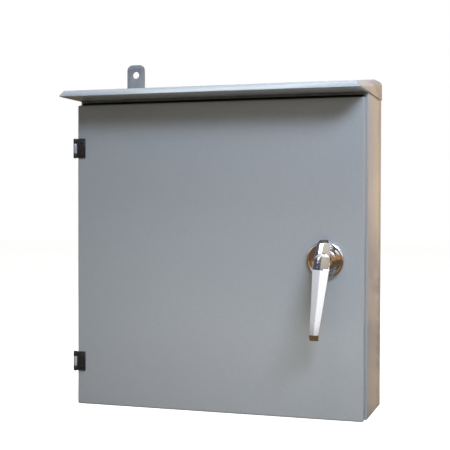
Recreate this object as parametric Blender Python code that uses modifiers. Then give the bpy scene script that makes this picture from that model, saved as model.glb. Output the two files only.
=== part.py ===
"""A wall-mounted automatic transfer switch in a hooded steel enclosure.

Metres, +Z up, front towards -Y. The origin is on the enclosure's back face, at the door's mid-height.
Every object is one closed solid, named as the piece it is.
"""

import math

import bmesh
import bpy
from mathutils import Matrix, Vector

# --- driving dimensions -------------------------------------------------------------------------
GAP = 0.0003  # between touching pieces
SHEET = 0.0015  # steel sheet of the enclosure, door and hood

DOOR_HALF_WIDTH = 0.24125
DOOR_HALF_HEIGHT = 0.250
DOOR_FRONT = -0.147
BODY_HALF_WIDTH = 0.244
BODY_FRONT = -0.128
BODY_BOTTOM = -0.250
BODY_TOP = 0.268
DOOR_BACK = BODY_FRONT - GAP

OPENING_HALF_WIDTH = 0.222
OPENING_BOTTOM = -0.228
OPENING_TOP = 0.235
RIM_FRONT = -0.139  # rain rim round the opening, which presses into the gasket

HOOD_HALF_WIDTH = BODY_HALF_WIDTH + GAP + SHEET
HOOD_FRONT = -0.209
HOOD_BACK = -0.0055
HOOD_RIM = 0.258
HOOD_BAND = 0.0092  # height of the sloped band over the rim
HOOD_INSET = 0.0065  # how far the band leans in
HOOD_RIDGE_Y = -0.037
HOOD_TOP = 0.289

LUG_X = -0.196
LUG_WIDTH = 0.033
LUG_TOP = 0.3345
LUG_HOLE_Z = 0.3165
LUG_HOLE_RADIUS = 0.00625
LUG_BACK = -0.0018
LUG_THICKNESS = 0.003

HINGE_X = -0.2448
HINGE_Y = -0.1485
HINGE_HEIGHTS = {"upper": 0.178, "lower": -0.178}
HINGE_HALF_LENGTH = 0.016
KNUCKLE_RADIUS = 0.0032
KNUCKLE_SPLIT = 0.0082
PIN_RADIUS = 0.0013

HANDLE_X = 0.1815
HANDLE_Z = -0.002
ROSETTE_RADIUS = 0.030
SPINDLE_SIDE = 0.008
CAM_PIN_RADIUS = 0.003
CAM_THROW = 0.0085  # pin circle: 90 degrees of handle moves each rod 12 mm
ROD_WIDTH = 0.013
ROD_OFFSET = 0.0075
ROD_FRONT = -0.1242
ROD_BACK = -0.1212
ROD_TIP = 0.2325

PANEL_FRONT = -0.015
PANEL_BACK = -0.013
PANEL_HALF_WIDTH = 0.215
PANEL_BOTTOM = -0.218
PANEL_TOP = 0.222
STANDOFF_X = 0.195
STANDOFF_Z = 0.200
ON_PANEL = PANEL_FRONT - GAP

BREAKER_X = 0.1175
BREAKER_HALF_LENGTH = 0.0625
BREAKER_Z = 0.055
BREAKER_HALF_HEIGHT = 0.039
BREAKER_BACK = -0.0176
BREAKER_FRONT = -0.0796
ESCUTCHEON_FRONT = -0.0856
TOGGLE_PIVOT_Y = -0.066
TOGGLE_TIP = -0.100
SLIDE_FRONT = -0.097
SLIDE_BACK = -0.093
LEVER_PIVOT_Z = 0.025

PARTS = "automatic_transfer_switch"
HELPERS = "cutters"


# --- helpers --------------------------------------------------------------------------------------
def clear_scene():
    for obj in list(bpy.data.objects):
        bpy.data.objects.remove(obj, do_unlink=True)


def collection(name):
    found = bpy.data.collections.get(name)
    if found is None:
        found = bpy.data.collections.new(name)
        bpy.context.scene.collection.children.link(found)
    return found


def material(name, color, roughness, metallic=0.0):
    made = bpy.data.materials.new(name)
    made.use_nodes = True
    shader = made.node_tree.nodes["Principled BSDF"]
    shader.inputs["Base Color"].default_value = (*color, 1.0)
    shader.inputs["Roughness"].default_value = roughness
    shader.inputs["Metallic"].default_value = metallic
    return made


def make_materials():
    return {
        "paint": material("grey_paint", (0.27, 0.29, 0.31), 0.38),
        "black": material("black_hinge", (0.012, 0.012, 0.013), 0.45),
        "rubber": material("black_rubber", (0.015, 0.015, 0.015), 0.85),
        "chrome": material("chrome", (0.85, 0.86, 0.88), 0.08, 1.0),
        "zinc": material("zinc_plate", (0.62, 0.63, 0.62), 0.35, 1.0),
        "moulded": material("moulded_case", (0.035, 0.036, 0.04), 0.5),
        "light_case": material("light_case", (0.62, 0.63, 0.6), 0.5),
        "brass": material("brass", (0.72, 0.52, 0.2), 0.3, 1.0),
        "red": material("red_plastic", (0.55, 0.02, 0.015), 0.4),
        "cable": material("cable_jacket", (0.02, 0.02, 0.02), 0.6),
        "paper": material("pocket_plastic", (0.55, 0.56, 0.55), 0.5),
    }


def place(obj, helper=False):
    """Moves an object into the parts' collection, or hides it among the helpers."""
    for owner in list(obj.users_collection):
        owner.objects.unlink(obj)
    collection(HELPERS if helper else PARTS).objects.link(obj)
    if helper:
        obj.hide_render = True
        obj.display_type = "WIRE"
    return obj


def mesh_object(name, build, paint=None, origin=(0, 0, 0), helper=False):
    """An object whose mesh is filled in by build(bm), in world places, with its origin at a point."""
    mesh = bpy.data.meshes.new(name)
    bm = bmesh.new()
    build(bm)
    bmesh.ops.translate(bm, verts=bm.verts, vec=-Vector(origin))
    bmesh.ops.recalc_face_normals(bm, faces=bm.faces)
    bm.to_mesh(mesh)
    bm.free()
    obj = bpy.data.objects.new(name, mesh)
    obj.location = origin
    if paint:
        mesh.materials.append(paint)
    return place(obj, helper)


def add_box(bm, low, high):
    """A box between two corners, added to a mesh under construction."""
    low, high = Vector(low), Vector(high)
    made = bmesh.ops.create_cube(bm, size=1.0)
    bmesh.ops.scale(bm, vec=high - low, verts=made["verts"])
    bmesh.ops.translate(bm, vec=(low + high) / 2, verts=made["verts"])
    return made["verts"]


def turned_to(axis):
    return Vector((0, 0, 1)).rotation_difference(Vector(axis)).to_matrix().to_4x4()


def add_cylinder(bm, start, end, radius, end_radius=None, segments=16):
    """A capped cylinder or cone between two points."""
    start, end = Vector(start), Vector(end)
    spot = Matrix.Translation((start + end) / 2) @ turned_to(end - start)
    bmesh.ops.create_cone(
        bm,
        cap_ends=True,
        segments=segments,
        radius1=radius,
        radius2=radius if end_radius is None else end_radius,
        depth=(end - start).length,
        matrix=spot,
    )


def box(name, low, high, paint=None, origin=None, helper=False):
    centre = (Vector(low) + Vector(high)) / 2
    return mesh_object(name, lambda bm: add_box(bm, low, high), paint, origin or centre, helper)


def cylinder(name, start, end, radius, paint=None, segments=16, helper=False, origin=None):
    def build(bm):
        add_cylinder(bm, start, end, radius, segments=segments)

    return mesh_object(name, build, paint, origin or start, helper)


def boolean(obj, tool, operation):
    modifier = obj.modifiers.new(operation.lower(), "BOOLEAN")
    modifier.operation = operation
    modifier.object = tool


def cut(obj, *tools):
    for tool in tools:
        boolean(obj, tool, "DIFFERENCE")


def join(obj, *tools):
    for tool in tools:
        boolean(obj, tool, "UNION")


def cut_box(obj, name, low, high):
    cut(obj, box(name, low, high, helper=True))


def cut_hole(obj, name, start, end, radius, segments=16):
    cut(obj, cylinder(name, start, end, radius, segments=segments, helper=True))


def join_box(obj, name, low, high):
    join(obj, box(name, low, high, helper=True))


def round_edges(obj, width, segments=2):
    """A Bevel on the object's sharp edges, added before any cut."""
    modifier = obj.modifiers.new("bevel", "BEVEL")
    modifier.width = width
    modifier.segments = segments
    modifier.limit_method = "ANGLE"
    modifier.angle_limit = math.radians(40)


def smooth(obj):
    obj.data.shade_smooth()
    obj.data.set_sharp_from_angle(angle=math.radians(30))
    return obj


def outline(name, points, half_depth, to_world, paint=None, helper=False):
    """A flat outline, filled and extruded both ways, made a mesh and put in place by a matrix."""
    curve = bpy.data.curves.new(name, "CURVE")
    curve.dimensions = "2D"
    curve.fill_mode = "BOTH"
    curve.extrude = half_depth
    spline = curve.splines.new("POLY")
    spline.points.add(len(points) - 1)
    for target, (x, y) in zip(spline.points, points):
        target.co = (x, y, 0.0, 1.0)
    spline.use_cyclic_u = True
    drawn = bpy.data.objects.new(name + "_curve", curve)
    bpy.context.scene.collection.objects.link(drawn)
    graph = bpy.context.evaluated_depsgraph_get()
    mesh = bpy.data.meshes.new_from_object(drawn.evaluated_get(graph))
    bpy.data.objects.remove(drawn)
    bpy.data.curves.remove(curve)
    bm = bmesh.new()
    bm.from_mesh(mesh)
    bmesh.ops.remove_doubles(bm, verts=bm.verts, dist=1e-5)
    bmesh.ops.transform(bm, matrix=to_world, verts=bm.verts)
    bmesh.ops.recalc_face_normals(bm, faces=bm.faces)
    bm.to_mesh(mesh)
    bm.free()
    mesh.name = name
    obj = bpy.data.objects.new(name, mesh)
    if paint:
        mesh.materials.append(paint)
    return place(obj, helper)


# An outline drawn in (y, z) and extruded along X, and one drawn in (x, z) and extruded along Y.
SIDE_VIEW = Matrix(((0, 0, 1, 0), (1, 0, 0, 0), (0, 1, 0, 0), (0, 0, 0, 1)))
FRONT_VIEW = Matrix(((1, 0, 0, 0), (0, 0, -1, 0), (0, 1, 0, 0), (0, 0, 0, 1)))


def side_plate(name, points, half_width, paint=None, helper=False):
    return outline(name, points, half_width, SIDE_VIEW, paint, helper)


def front_plate(name, points, front, back, paint=None, helper=False):
    spot = Matrix.Translation((0, (front + back) / 2, 0)) @ FRONT_VIEW
    return outline(name, points, (back - front) / 2, spot, paint, helper)


def arc(centre, radius, start, stop, steps):
    """Points on an arc, in degrees."""
    turns = [math.radians(start + (stop - start) * i / steps) for i in range(steps + 1)]
    return [(centre[0] + radius * math.cos(a), centre[1] + radius * math.sin(a)) for a in turns]


def lathe(name, profile, spot, axis, paint, steps=24):
    """A profile of (radius, height) points turned about an axis through a point, with a Screw."""
    mesh = bpy.data.meshes.new(name)
    bm = bmesh.new()
    ring = [bm.verts.new((radius, 0, height)) for radius, height in profile]
    for first, second in zip(ring, ring[1:]):
        bm.edges.new((first, second))
    if min(radius for radius, _ in profile) > 0:
        bm.edges.new((ring[-1], ring[0]))
    bm.to_mesh(mesh)
    bm.free()
    mesh.materials.append(paint)
    obj = bpy.data.objects.new(name, mesh)
    obj.matrix_world = Matrix.Translation(spot) @ turned_to(axis)
    modifier = obj.modifiers.new("turn", "SCREW")
    modifier.steps = steps
    modifier.render_steps = steps
    modifier.use_merge_vertices = True
    modifier.merge_threshold = 0.00001
    return place(obj)


def smooth_route(points, steps=3):
    """Points along a smooth curve through hand-chosen points (Catmull-Rom)."""
    points = [Vector(p) for p in points]
    padded = [points[0] * 2 - points[1], *points, points[-1] * 2 - points[-2]]
    route = []
    for a, b, c, d in zip(padded, padded[1:], padded[2:], padded[3:]):
        for i in range(steps):
            t = i / steps
            route.append(
                0.5
                * (
                    2 * b
                    + (c - a) * t
                    + (2 * a - 5 * b + 4 * c - d) * t**2
                    + (3 * b - a - 3 * c + d) * t**3
                )
            )
    return [*route, points[-1]]


def cable(name, points, radius, paint):
    curve = bpy.data.curves.new(name, "CURVE")
    curve.dimensions = "3D"
    curve.bevel_depth = radius
    curve.bevel_resolution = 2
    curve.use_fill_caps = True
    spline = curve.splines.new("POLY")
    route = smooth_route(points)
    spline.points.add(len(route) - 1)
    for target, point in zip(spline.points, route):
        target.co = (*point, 1.0)
    curve.materials.append(paint)
    return place(bpy.data.objects.new(name, curve))


# --- enclosure --------------------------------------------------------------------------------------
def enclosure_shell(paints):
    """Folded body: open front with an inward flange and a rain rim, and an upstand behind the hood."""
    shell = box(
        "enclosure_shell",
        (-BODY_HALF_WIDTH, BODY_FRONT, BODY_BOTTOM),
        (BODY_HALF_WIDTH, 0, BODY_TOP),
        paints["paint"],
        origin=(0, 0, 0),
    )
    round_edges(shell, 0.0012, 1)
    inner = BODY_HALF_WIDTH - SHEET
    cut_box(
        shell,
        "shell_hollow",
        (-inner, BODY_FRONT + SHEET, BODY_BOTTOM + SHEET),
        (inner, -SHEET, BODY_TOP - SHEET),
    )
    rim = OPENING_HALF_WIDTH + SHEET
    join_box(
        shell,
        "rim_block",
        (-rim, RIM_FRONT, OPENING_BOTTOM - SHEET),
        (rim, BODY_FRONT + SHEET / 2, OPENING_TOP + SHEET),
    )
    join_box(
        shell,
        "upstand",
        (-0.237, -SHEET, BODY_TOP - SHEET),
        (0.237, 0, HOOD_TOP - 0.0025),
    )
    cut_box(
        shell,
        "door_opening",
        (-OPENING_HALF_WIDTH, RIM_FRONT - 0.01, OPENING_BOTTOM),
        (OPENING_HALF_WIDTH, BODY_FRONT + 0.01, OPENING_TOP),
    )
    cut_box(shell, "gland_opening", (-0.150, -0.098, BODY_BOTTOM - 0.01), (0.150, -0.038, -0.245))
    for x in (-0.228, 0.228):
        for z in (-0.230, 0.225):
            cut_hole(shell, "anchor_hole", (x, -0.01, z), (x, 0.01, z), 0.0045, 12)
    return shell


def wedge_cap(bm, half_width, front, back, rim, band, top):
    """A wedge roof over a level rim: a leaning band round three sides, a slope and a flat rear.

    The band leans in by HOOD_INSET. It starts at the rim in front and climbs the sides with the slope.
    """
    climb = (top - band - rim) / (HOOD_RIDGE_Y - front)
    inner = half_width - HOOD_INSET
    corner = rim + band + HOOD_INSET * climb
    outer = [(front, rim), (HOOD_RIDGE_Y, top - band), (back, top - band)]
    roof = [(front + HOOD_INSET, corner), (HOOD_RIDGE_Y, top), (back, top)]
    sides = []
    for sign in (-1, 1):
        low = [bm.verts.new((sign * half_width, y, z)) for y, z in outer]
        high = [bm.verts.new((sign * inner, y, z)) for y, z in roof]
        foot = bm.verts.new((sign * half_width, back, rim))
        sides.append((low, high, foot))
        bm.faces.new((*low, foot))
        for i in range(2):
            bm.faces.new((low[i], low[i + 1], high[i + 1], high[i]))
    (low_a, high_a, foot_a), (low_b, high_b, foot_b) = sides
    bm.faces.new((low_a[0], low_b[0], high_b[0], high_a[0]))
    for i in range(2):
        bm.faces.new((high_a[i], high_a[i + 1], high_b[i + 1], high_b[i]))
    bm.faces.new((foot_a, low_a[2], high_a[2], high_b[2], low_b[2], foot_b))
    bm.faces.new((low_a[0], foot_a, foot_b, low_b[0]))


def rain_hood(paints):
    """Folded wedge hood with a closed soffit ahead of the body; its cheeks lap the body's sides."""
    inner = HOOD_HALF_WIDTH - SHEET

    def outside(bm):
        wedge_cap(bm, HOOD_HALF_WIDTH, HOOD_FRONT, HOOD_BACK, HOOD_RIM, HOOD_BAND, HOOD_TOP)

    def inside(bm):
        rim, top = HOOD_RIM + SHEET, HOOD_TOP - SHEET
        wedge_cap(bm, inner, HOOD_FRONT + 0.002, 0.001, rim, HOOD_BAND - 0.0024, top)

    hood = mesh_object("rain_hood", outside, paints["paint"], (0, HOOD_BACK, HOOD_RIM))
    cut(hood, mesh_object("hood_hollow", inside, helper=True))
    over_body = BODY_FRONT - GAP
    cut_box(hood, "hood_mouth", (-inner, over_body, HOOD_RIM - 0.01), (inner, 0.01, HOOD_RIM + 0.004))
    return hood


def mounting_lug(paints):
    half, corner = LUG_WIDTH / 2, 0.010
    foot = BODY_TOP + GAP
    left, right = LUG_X - half, LUG_X + half
    points = [
        (left, foot),
        (right, foot),
        *arc((right - corner, LUG_TOP - corner), corner, 0, 90, 5),
        *arc((left + corner, LUG_TOP - corner), corner, 90, 180, 5),
    ]
    front = LUG_BACK - LUG_THICKNESS
    lug = front_plate("mounting_lug", points, front, LUG_BACK, paints["paint"])
    join_box(lug, "lug_foot", (left, -0.028, foot), (right, front + 0.001, foot + LUG_THICKNESS))
    hole = (LUG_X, 0, LUG_HOLE_Z)
    cut_hole(lug, "lug_hole", hole, (LUG_X, -0.01, LUG_HOLE_Z), LUG_HOLE_RADIUS, 20)
    return lug


def header_seal(paints):
    return box(
        "header_seal",
        (-0.238, BODY_FRONT - 0.0065, DOOR_HALF_HEIGHT + 0.0008),
        (0.238, BODY_FRONT - GAP, HOOD_RIM - 0.0005),
        paints["rubber"],
    )


def gland_plate(paints):
    low = BODY_BOTTOM + SHEET + GAP
    plate = box(
        "gland_plate", (-0.165, -0.108, low), (0.165, -0.028, low + 0.002), paints["paint"]
    )
    for index, x in enumerate((-0.095, 0.0, 0.095), 1):
        hole = ((x, -0.068, low - 0.004), (x, -0.068, low + 0.006))
        cut_hole(plate, f"gland_hole_{index}", *hole, 0.0175, 20)
        profile = [
            (0.0, low - 0.0015),
            (0.0165, low - 0.0015),
            (0.0165, low + 0.002 + GAP),
            (0.0220, low + 0.002 + GAP),
            (0.0220, low + 0.0045),
            (0.0195, low + 0.0055),
            (0.0, low + 0.0055),
        ]
        turned = [(radius, height - low) for radius, height in reversed(profile)]
        plug = lathe(
            f"blanking_plug_{index}", turned, (x, -0.068, low), (0, 0, 1), paints["rubber"], 20
        )
        smooth(plug)


def hinge(paints, side, height):
    """Black leaf with two knuckles on the door, a painted middle knuckle on the body, and the pin."""
    top, bottom = height + HINGE_HALF_LENGTH, height - HINGE_HALF_LENGTH
    inner = HINGE_X + KNUCKLE_RADIUS + 0.0006
    leaf = box(
        f"hinge_door_leaf_{side}",
        (inner, DOOR_FRONT - GAP - 0.0027, bottom),
        (-0.2265, DOOR_FRONT - GAP, top),
        paints["black"],
        origin=(HINGE_X, HINGE_Y, height),
    )
    round_edges(leaf, 0.0006, 1)
    for end, sign in (("a", 1), ("b", -1)):
        near, far = height + sign * KNUCKLE_SPLIT, height + sign * HINGE_HALF_LENGTH
        low, high = min(near, far), max(near, far)
        join_box(
            leaf,
            f"leaf_tab_{side}_{end}",
            (HINGE_X, DOOR_FRONT - GAP - 0.0027, low),
            (inner + 0.001, DOOR_FRONT - GAP, high),
        )
        knuckle = ((HINGE_X, HINGE_Y, low), (HINGE_X, HINGE_Y, high))
        shape = cylinder(f"leaf_knuckle_{side}_{end}", *knuckle, KNUCKLE_RADIUS, helper=True)
        join(leaf, shape)
    bore = ((HINGE_X, HINGE_Y, bottom - 0.01), (HINGE_X, HINGE_Y, top + 0.01))
    cut_hole(leaf, f"leaf_bore_{side}", *bore, PIN_RADIUS + GAP, 12)

    half = KNUCKLE_SPLIT - GAP
    frame = box(
        f"hinge_frame_leaf_{side}",
        (-BODY_HALF_WIDTH - 0.0032, HINGE_Y, height - half),
        (-BODY_HALF_WIDTH - 0.0004, -0.100, height + half),
        paints["paint"],
        origin=(HINGE_X, HINGE_Y, height),
    )
    barrel = ((HINGE_X, HINGE_Y, height - half), (HINGE_X, HINGE_Y, height + half))
    join(frame, cylinder(f"frame_knuckle_{side}", *barrel, KNUCKLE_RADIUS, helper=True))
    cut_hole(frame, f"frame_bore_{side}", *bore, PIN_RADIUS + GAP, 12)

    ends = ((HINGE_X, HINGE_Y, bottom - 0.0008), (HINGE_X, HINGE_Y, top + 0.0008))
    smooth(cylinder(f"hinge_pin_{side}", *ends, PIN_RADIUS, paints["zinc"], 12))


# --- door ---------------------------------------------------------------------------------------------
def door_panel(paints):
    hinge_origin = (HINGE_X, HINGE_Y, 0)
    door = box(
        "door_panel",
        (-DOOR_HALF_WIDTH, DOOR_FRONT, -DOOR_HALF_HEIGHT),
        (DOOR_HALF_WIDTH, DOOR_BACK + 0.004, DOOR_HALF_HEIGHT),
        paints["paint"],
        origin=hinge_origin,
    )
    round_edges(door, 0.0025, 2)
    wide = DOOR_HALF_WIDTH + 0.01
    cut_box(door, "door_trim", (-wide, DOOR_BACK, -0.27), (wide, DOOR_BACK + 0.02, 0.27))
    inner_x, inner_z = DOOR_HALF_WIDTH - SHEET, DOOR_HALF_HEIGHT - SHEET
    cut_box(
        door,
        "door_hollow",
        (-inner_x, DOOR_FRONT + SHEET, -inner_z),
        (inner_x, DOOR_BACK + 0.01, inner_z),
    )
    through = ((HANDLE_X, DOOR_FRONT - 0.01, HANDLE_Z), (HANDLE_X, DOOR_BACK, HANDLE_Z))
    cut_hole(door, "spindle_hole", *through, 0.0085)
    return door


def door_gasket(paints):
    front = DOOR_FRONT + SHEET + GAP
    back = RIM_FRONT - GAP
    gasket = box(
        "door_gasket", (-0.230, front, -0.236), (0.230, back, 0.243), paints["rubber"]
    )
    cut_box(gasket, "gasket_inside", (-0.2165, front - 0.01, -0.2225), (0.2165, back + 0.01, 0.2295))
    return gasket


def rosette(paints):
    """Round dished plate under the handle, with a rolled rim."""
    profile = [
        (0.0090, 0.0),
        (0.0090, 0.0034),
        (0.0200, 0.0034),
        (0.0245, 0.0046),
        (0.0272, 0.0058),
        (0.0292, 0.0048),
        (ROSETTE_RADIUS, 0.0022),
        (ROSETTE_RADIUS, 0.0),
    ]
    spot = (HANDLE_X, DOOR_FRONT - GAP, HANDLE_Z)
    return smooth(lathe("handle_rosette", profile, spot, (0, -1, 0), paints["chrome"], 32))


def spindle_nut(paints):
    inside = DOOR_FRONT + SHEET + GAP
    ends = ((HANDLE_X, inside, HANDLE_Z), (HANDLE_X, inside + 0.007, HANDLE_Z))
    nut = cylinder("spindle_nut", *ends, 0.0165, paints["zinc"], 6)
    bore = ((HANDLE_X, inside - 0.01, HANDLE_Z), (HANDLE_X, inside + 0.02, HANDLE_Z))
    cut_hole(nut, "nut_bore", *bore, 0.0070)
    return nut


def rod_guide(paints, name, x, z):
    inside = DOOR_FRONT + SHEET + GAP
    back = ROD_BACK + 0.0022
    guide = box(
        name, (x - 0.013, inside, z - 0.006), (x + 0.013, back, z + 0.006), paints["zinc"]
    )
    half = ROD_WIDTH / 2 + 0.0006
    cut_box(
        guide,
        name + "_slot",
        (x - half, ROD_FRONT - 0.0006, z - 0.02),
        (x + half, ROD_BACK + 0.0006, z + 0.02),
    )
    cut_box(
        guide,
        name + "_relief",
        (x - 0.008, inside + 0.003, z - 0.02),
        (x + 0.008, ROD_FRONT - 0.003, z + 0.02),
    )


def document_pocket(paints):
    inside = DOOR_FRONT + SHEET + GAP
    pocket = box(
        "document_pocket", (-0.130, inside, -0.150), (0.070, inside + 0.011, -0.020), paints["paper"]
    )
    cut_box(
        pocket,
        "pocket_inside",
        (-0.128, inside + 0.0015, -0.148),
        (0.068, inside + 0.0095, 0.0),
    )
    dip = ((-0.030, inside + 0.005, -0.020), (-0.030, inside + 0.02, -0.020))
    cut_hole(pocket, "pocket_thumb_cut", *dip, 0.022, 20)


# --- handle and latch ---------------------------------------------------------------------------------
def lever_section(drop, stand_off, shift, width, thick, ridge):
    """Six corners of the lever's cross-section: two front facets that meet on a ridge, and a back."""
    x, z = HANDLE_X + shift, HANDLE_Z + drop
    front, half = DOOR_FRONT - stand_off, width / 2
    back = front + thick
    return [
        (x, front, z),
        (x + half, front + ridge, z),
        (x + half * 0.86, back, z),
        (x, back + ridge * 0.4, z),
        (x - half * 0.86, back, z),
        (x - half, front + ridge, z),
    ]


LEVER_SECTIONS = (
    # drop, stand-off, sideways shift, width, thickness, ridge
    (0.0330, 0.0105, 0.0, 0.013, 0.0030, 0.0010),
    (0.0265, 0.0165, 0.0, 0.022, 0.0085, 0.0030),
    (-0.0125, 0.0385, 0.0, 0.0265, 0.0200, 0.0030),
    (-0.0600, 0.0520, -0.0015, 0.0205, 0.0120, 0.0022),
    (-0.1095, 0.0660, -0.0040, 0.0155, 0.0110, 0.0018),
    (-0.1180, 0.0610, -0.0042, 0.0140, 0.0050, 0.0010),
)


def handle_lever(paints):
    """Faceted wedge head and tapered lever, a loft between unlike sections, on a round boss."""

    def build(bm):
        rings = [
            [bm.verts.new(corner) for corner in lever_section(*section)]
            for section in LEVER_SECTIONS
        ]
        for upper, lower in zip(rings, rings[1:]):
            for i in range(len(upper)):
                j = (i + 1) % len(upper)
                bm.faces.new((upper[i], upper[j], lower[j], lower[i]))
        bm.faces.new(rings[0])
        bm.faces.new(list(reversed(rings[-1])))

    spot = (HANDLE_X, DOOR_FRONT, HANDLE_Z)
    lever = mesh_object("handle_lever", build, paints["chrome"], spot)
    round_edges(lever, 0.0007, 1)

    def boss(bm):
        base, tip = DOOR_FRONT - 0.0042, DOOR_FRONT - 0.0270
        ends = ((HANDLE_X, base, HANDLE_Z), (HANDLE_X, tip, HANDLE_Z))
        add_cylinder(bm, *ends, 0.0165, 0.0120, 24)

    join(lever, mesh_object("lever_boss", boss, helper=True))
    return lever


def handle_spindle(paints):
    half = SPINDLE_SIDE / 2
    return box(
        "handle_spindle",
        (HANDLE_X - half, DOOR_FRONT - 0.0042 + GAP, HANDLE_Z - half),
        (HANDLE_X + half, -0.1283, HANDLE_Z + half),
        paints["zinc"],
        origin=(HANDLE_X, DOOR_FRONT, HANDLE_Z),
    )


def latch_cam(paints):
    """Plate with two pins: the left pin lifts the upper rod, the right one lowers the lower rod."""
    front, back = -0.1280, -0.1250
    ends = ((HANDLE_X, front, HANDLE_Z), (HANDLE_X, back, HANDLE_Z))
    cam = cylinder("latch_cam", *ends, 0.0140, paints["zinc"], 20)
    reach = CAM_THROW / math.sqrt(2)
    for name, sign in (("a", -1), ("b", 1)):
        x, z = HANDLE_X + sign * reach, HANDLE_Z + sign * reach
        pin = ((x, back - 0.001, z), (x, ROD_BACK + 0.0017, z))
        join(cam, cylinder(f"cam_pin_{name}", *pin, CAM_PIN_RADIUS, segments=12, helper=True))
    return cam


def latch_rod(paints, name, sign):
    """Flat rod with a cross slot for the cam's pin; sign is 1 for the upper rod, -1 for the lower."""
    x = HANDLE_X - sign * ROD_OFFSET
    pin_z = HANDLE_Z - sign * CAM_THROW / math.sqrt(2)
    tip = sign * ROD_TIP if sign > 0 else OPENING_BOTTOM + 0.0025
    inner = pin_z - sign * 0.008
    half = ROD_WIDTH / 2
    rod = box(
        name,
        (x - half, ROD_FRONT, min(tip, inner)),
        (x + half, ROD_BACK, max(tip, inner)),
        paints["zinc"],
    )
    clear = CAM_PIN_RADIUS + 0.0006
    pin_x = HANDLE_X - sign * CAM_THROW * 0.86
    cut_box(
        rod,
        name + "_slot",
        (pin_x - clear - 0.0018, ROD_FRONT - 0.01, pin_z - clear),
        (pin_x + clear + 0.0018, ROD_BACK + 0.01, pin_z + clear),
    )


# --- inside ---------------------------------------------------------------------------------------------
def back_panel(paints):
    panel = box(
        "back_panel",
        (-PANEL_HALF_WIDTH, PANEL_FRONT, PANEL_BOTTOM),
        (PANEL_HALF_WIDTH, PANEL_BACK, PANEL_TOP),
        paints["zinc"],
    )
    index = 0
    for x in (-STANDOFF_X, STANDOFF_X):
        for z in (-STANDOFF_Z, STANDOFF_Z):
            index += 1
            hole = ((x, PANEL_FRONT - 0.005, z), (x, PANEL_BACK + 0.005, z))
            cut_hole(panel, f"panel_hole_{index}", *hole, 0.0036, 12)
            profile = [
                (0.0, 0.0252),
                (0.0030, 0.0252),
                (0.0030, 0.0109),
                (0.0070, 0.0109),
                (0.0070, 0.0),
                (0.0, 0.0),
            ]
            spot = (x, -SHEET - GAP, z)
            stud = lathe(f"panel_standoff_{index}", profile, spot, (0, -1, 0), paints["zinc"], 12)
            smooth(stud)


def transfer_base(paints):
    return box(
        "transfer_base_plate",
        (-0.188, ON_PANEL - 0.002, 0.0),
        (0.188, ON_PANEL, 0.110),
        paints["zinc"],
    )


def breaker(paints, source, side):
    """Moulded-case breaker lying on its side, with terminal pockets at both ends, and its toggle."""
    x = side * BREAKER_X
    low_z, high_z = BREAKER_Z - BREAKER_HALF_HEIGHT, BREAKER_Z + BREAKER_HALF_HEIGHT
    case = box(
        f"{source}_breaker_case",
        (x - BREAKER_HALF_LENGTH, BREAKER_FRONT, low_z),
        (x + BREAKER_HALF_LENGTH, BREAKER_BACK, high_z),
        paints["moulded"],
    )
    round_edges(case, 0.0015, 1)
    join_box(
        case,
        f"{source}_escutcheon",
        (x - 0.024, ESCUTCHEON_FRONT, BREAKER_Z - 0.020),
        (x + 0.024, BREAKER_FRONT + 0.002, BREAKER_Z + 0.020),
    )
    cut_box(
        case,
        f"{source}_toggle_slot",
        (x - 0.0125, ESCUTCHEON_FRONT - 0.005, BREAKER_Z - 0.0065),
        (x + 0.0125, TOGGLE_PIVOT_Y + 0.0070, BREAKER_Z + 0.0065),
    )
    for end in (-1, 1):
        for pole in (-1, 1):
            reach = BREAKER_HALF_LENGTH - 0.016
            first, second = x + end * reach, x + end * (BREAKER_HALF_LENGTH + 0.005)
            mid = BREAKER_Z + pole * 0.018
            cut_box(
                case,
                f"{source}_pocket_{end + 1}_{pole + 1}",
                (min(first, second), BREAKER_FRONT - 0.01, mid - 0.011),
                (max(first, second), -0.036, mid + 0.011),
            )
    toggle = box(
        f"{source}_breaker_toggle",
        (x - 0.0040, TOGGLE_TIP, BREAKER_Z - 0.0050),
        (x + 0.0040, TOGGLE_PIVOT_Y, BREAKER_Z + 0.0050),
        paints["light_case"],
        origin=(x, TOGGLE_PIVOT_Y, BREAKER_Z),
    )
    pivot = ((x, TOGGLE_PIVOT_Y, BREAKER_Z - 0.0060), (x, TOGGLE_PIVOT_Y, BREAKER_Z + 0.0060))
    join(toggle, cylinder(f"{source}_toggle_barrel", *pivot, 0.0060, segments=16, helper=True))


def drive(paints):
    """Gearbox between the breakers with guides for the interlock slide, and the motor below it."""
    front = -0.072
    gearbox = box(
        "drive_gearbox", (-0.036, front, 0.010), (0.036, BREAKER_BACK, 0.100), paints["light_case"]
    )
    round_edges(gearbox, 0.002, 1)
    for index, x in enumerate((-0.030, 0.030)):
        for z_low, z_high in ((0.0400, 0.0436), (0.0664, 0.0700)):
            join_box(
                gearbox,
                f"slide_guide_{index}",
                (x - 0.005, SLIDE_FRONT - 0.001, z_low),
                (x + 0.005, front + 0.002, z_high),
            )
    profile = [
        (0.0, 0.0500),
        (0.0120, 0.0500),
        (0.0120, 0.0460),
        (0.0170, 0.0440),
        (0.0170, 0.0),
        (0.0, 0.0),
    ]
    spot = (0.0, -0.046, 0.010 - GAP)
    smooth(lathe("drive_motor", profile, spot, (0, 0, -1), paints["zinc"], 20))


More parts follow.
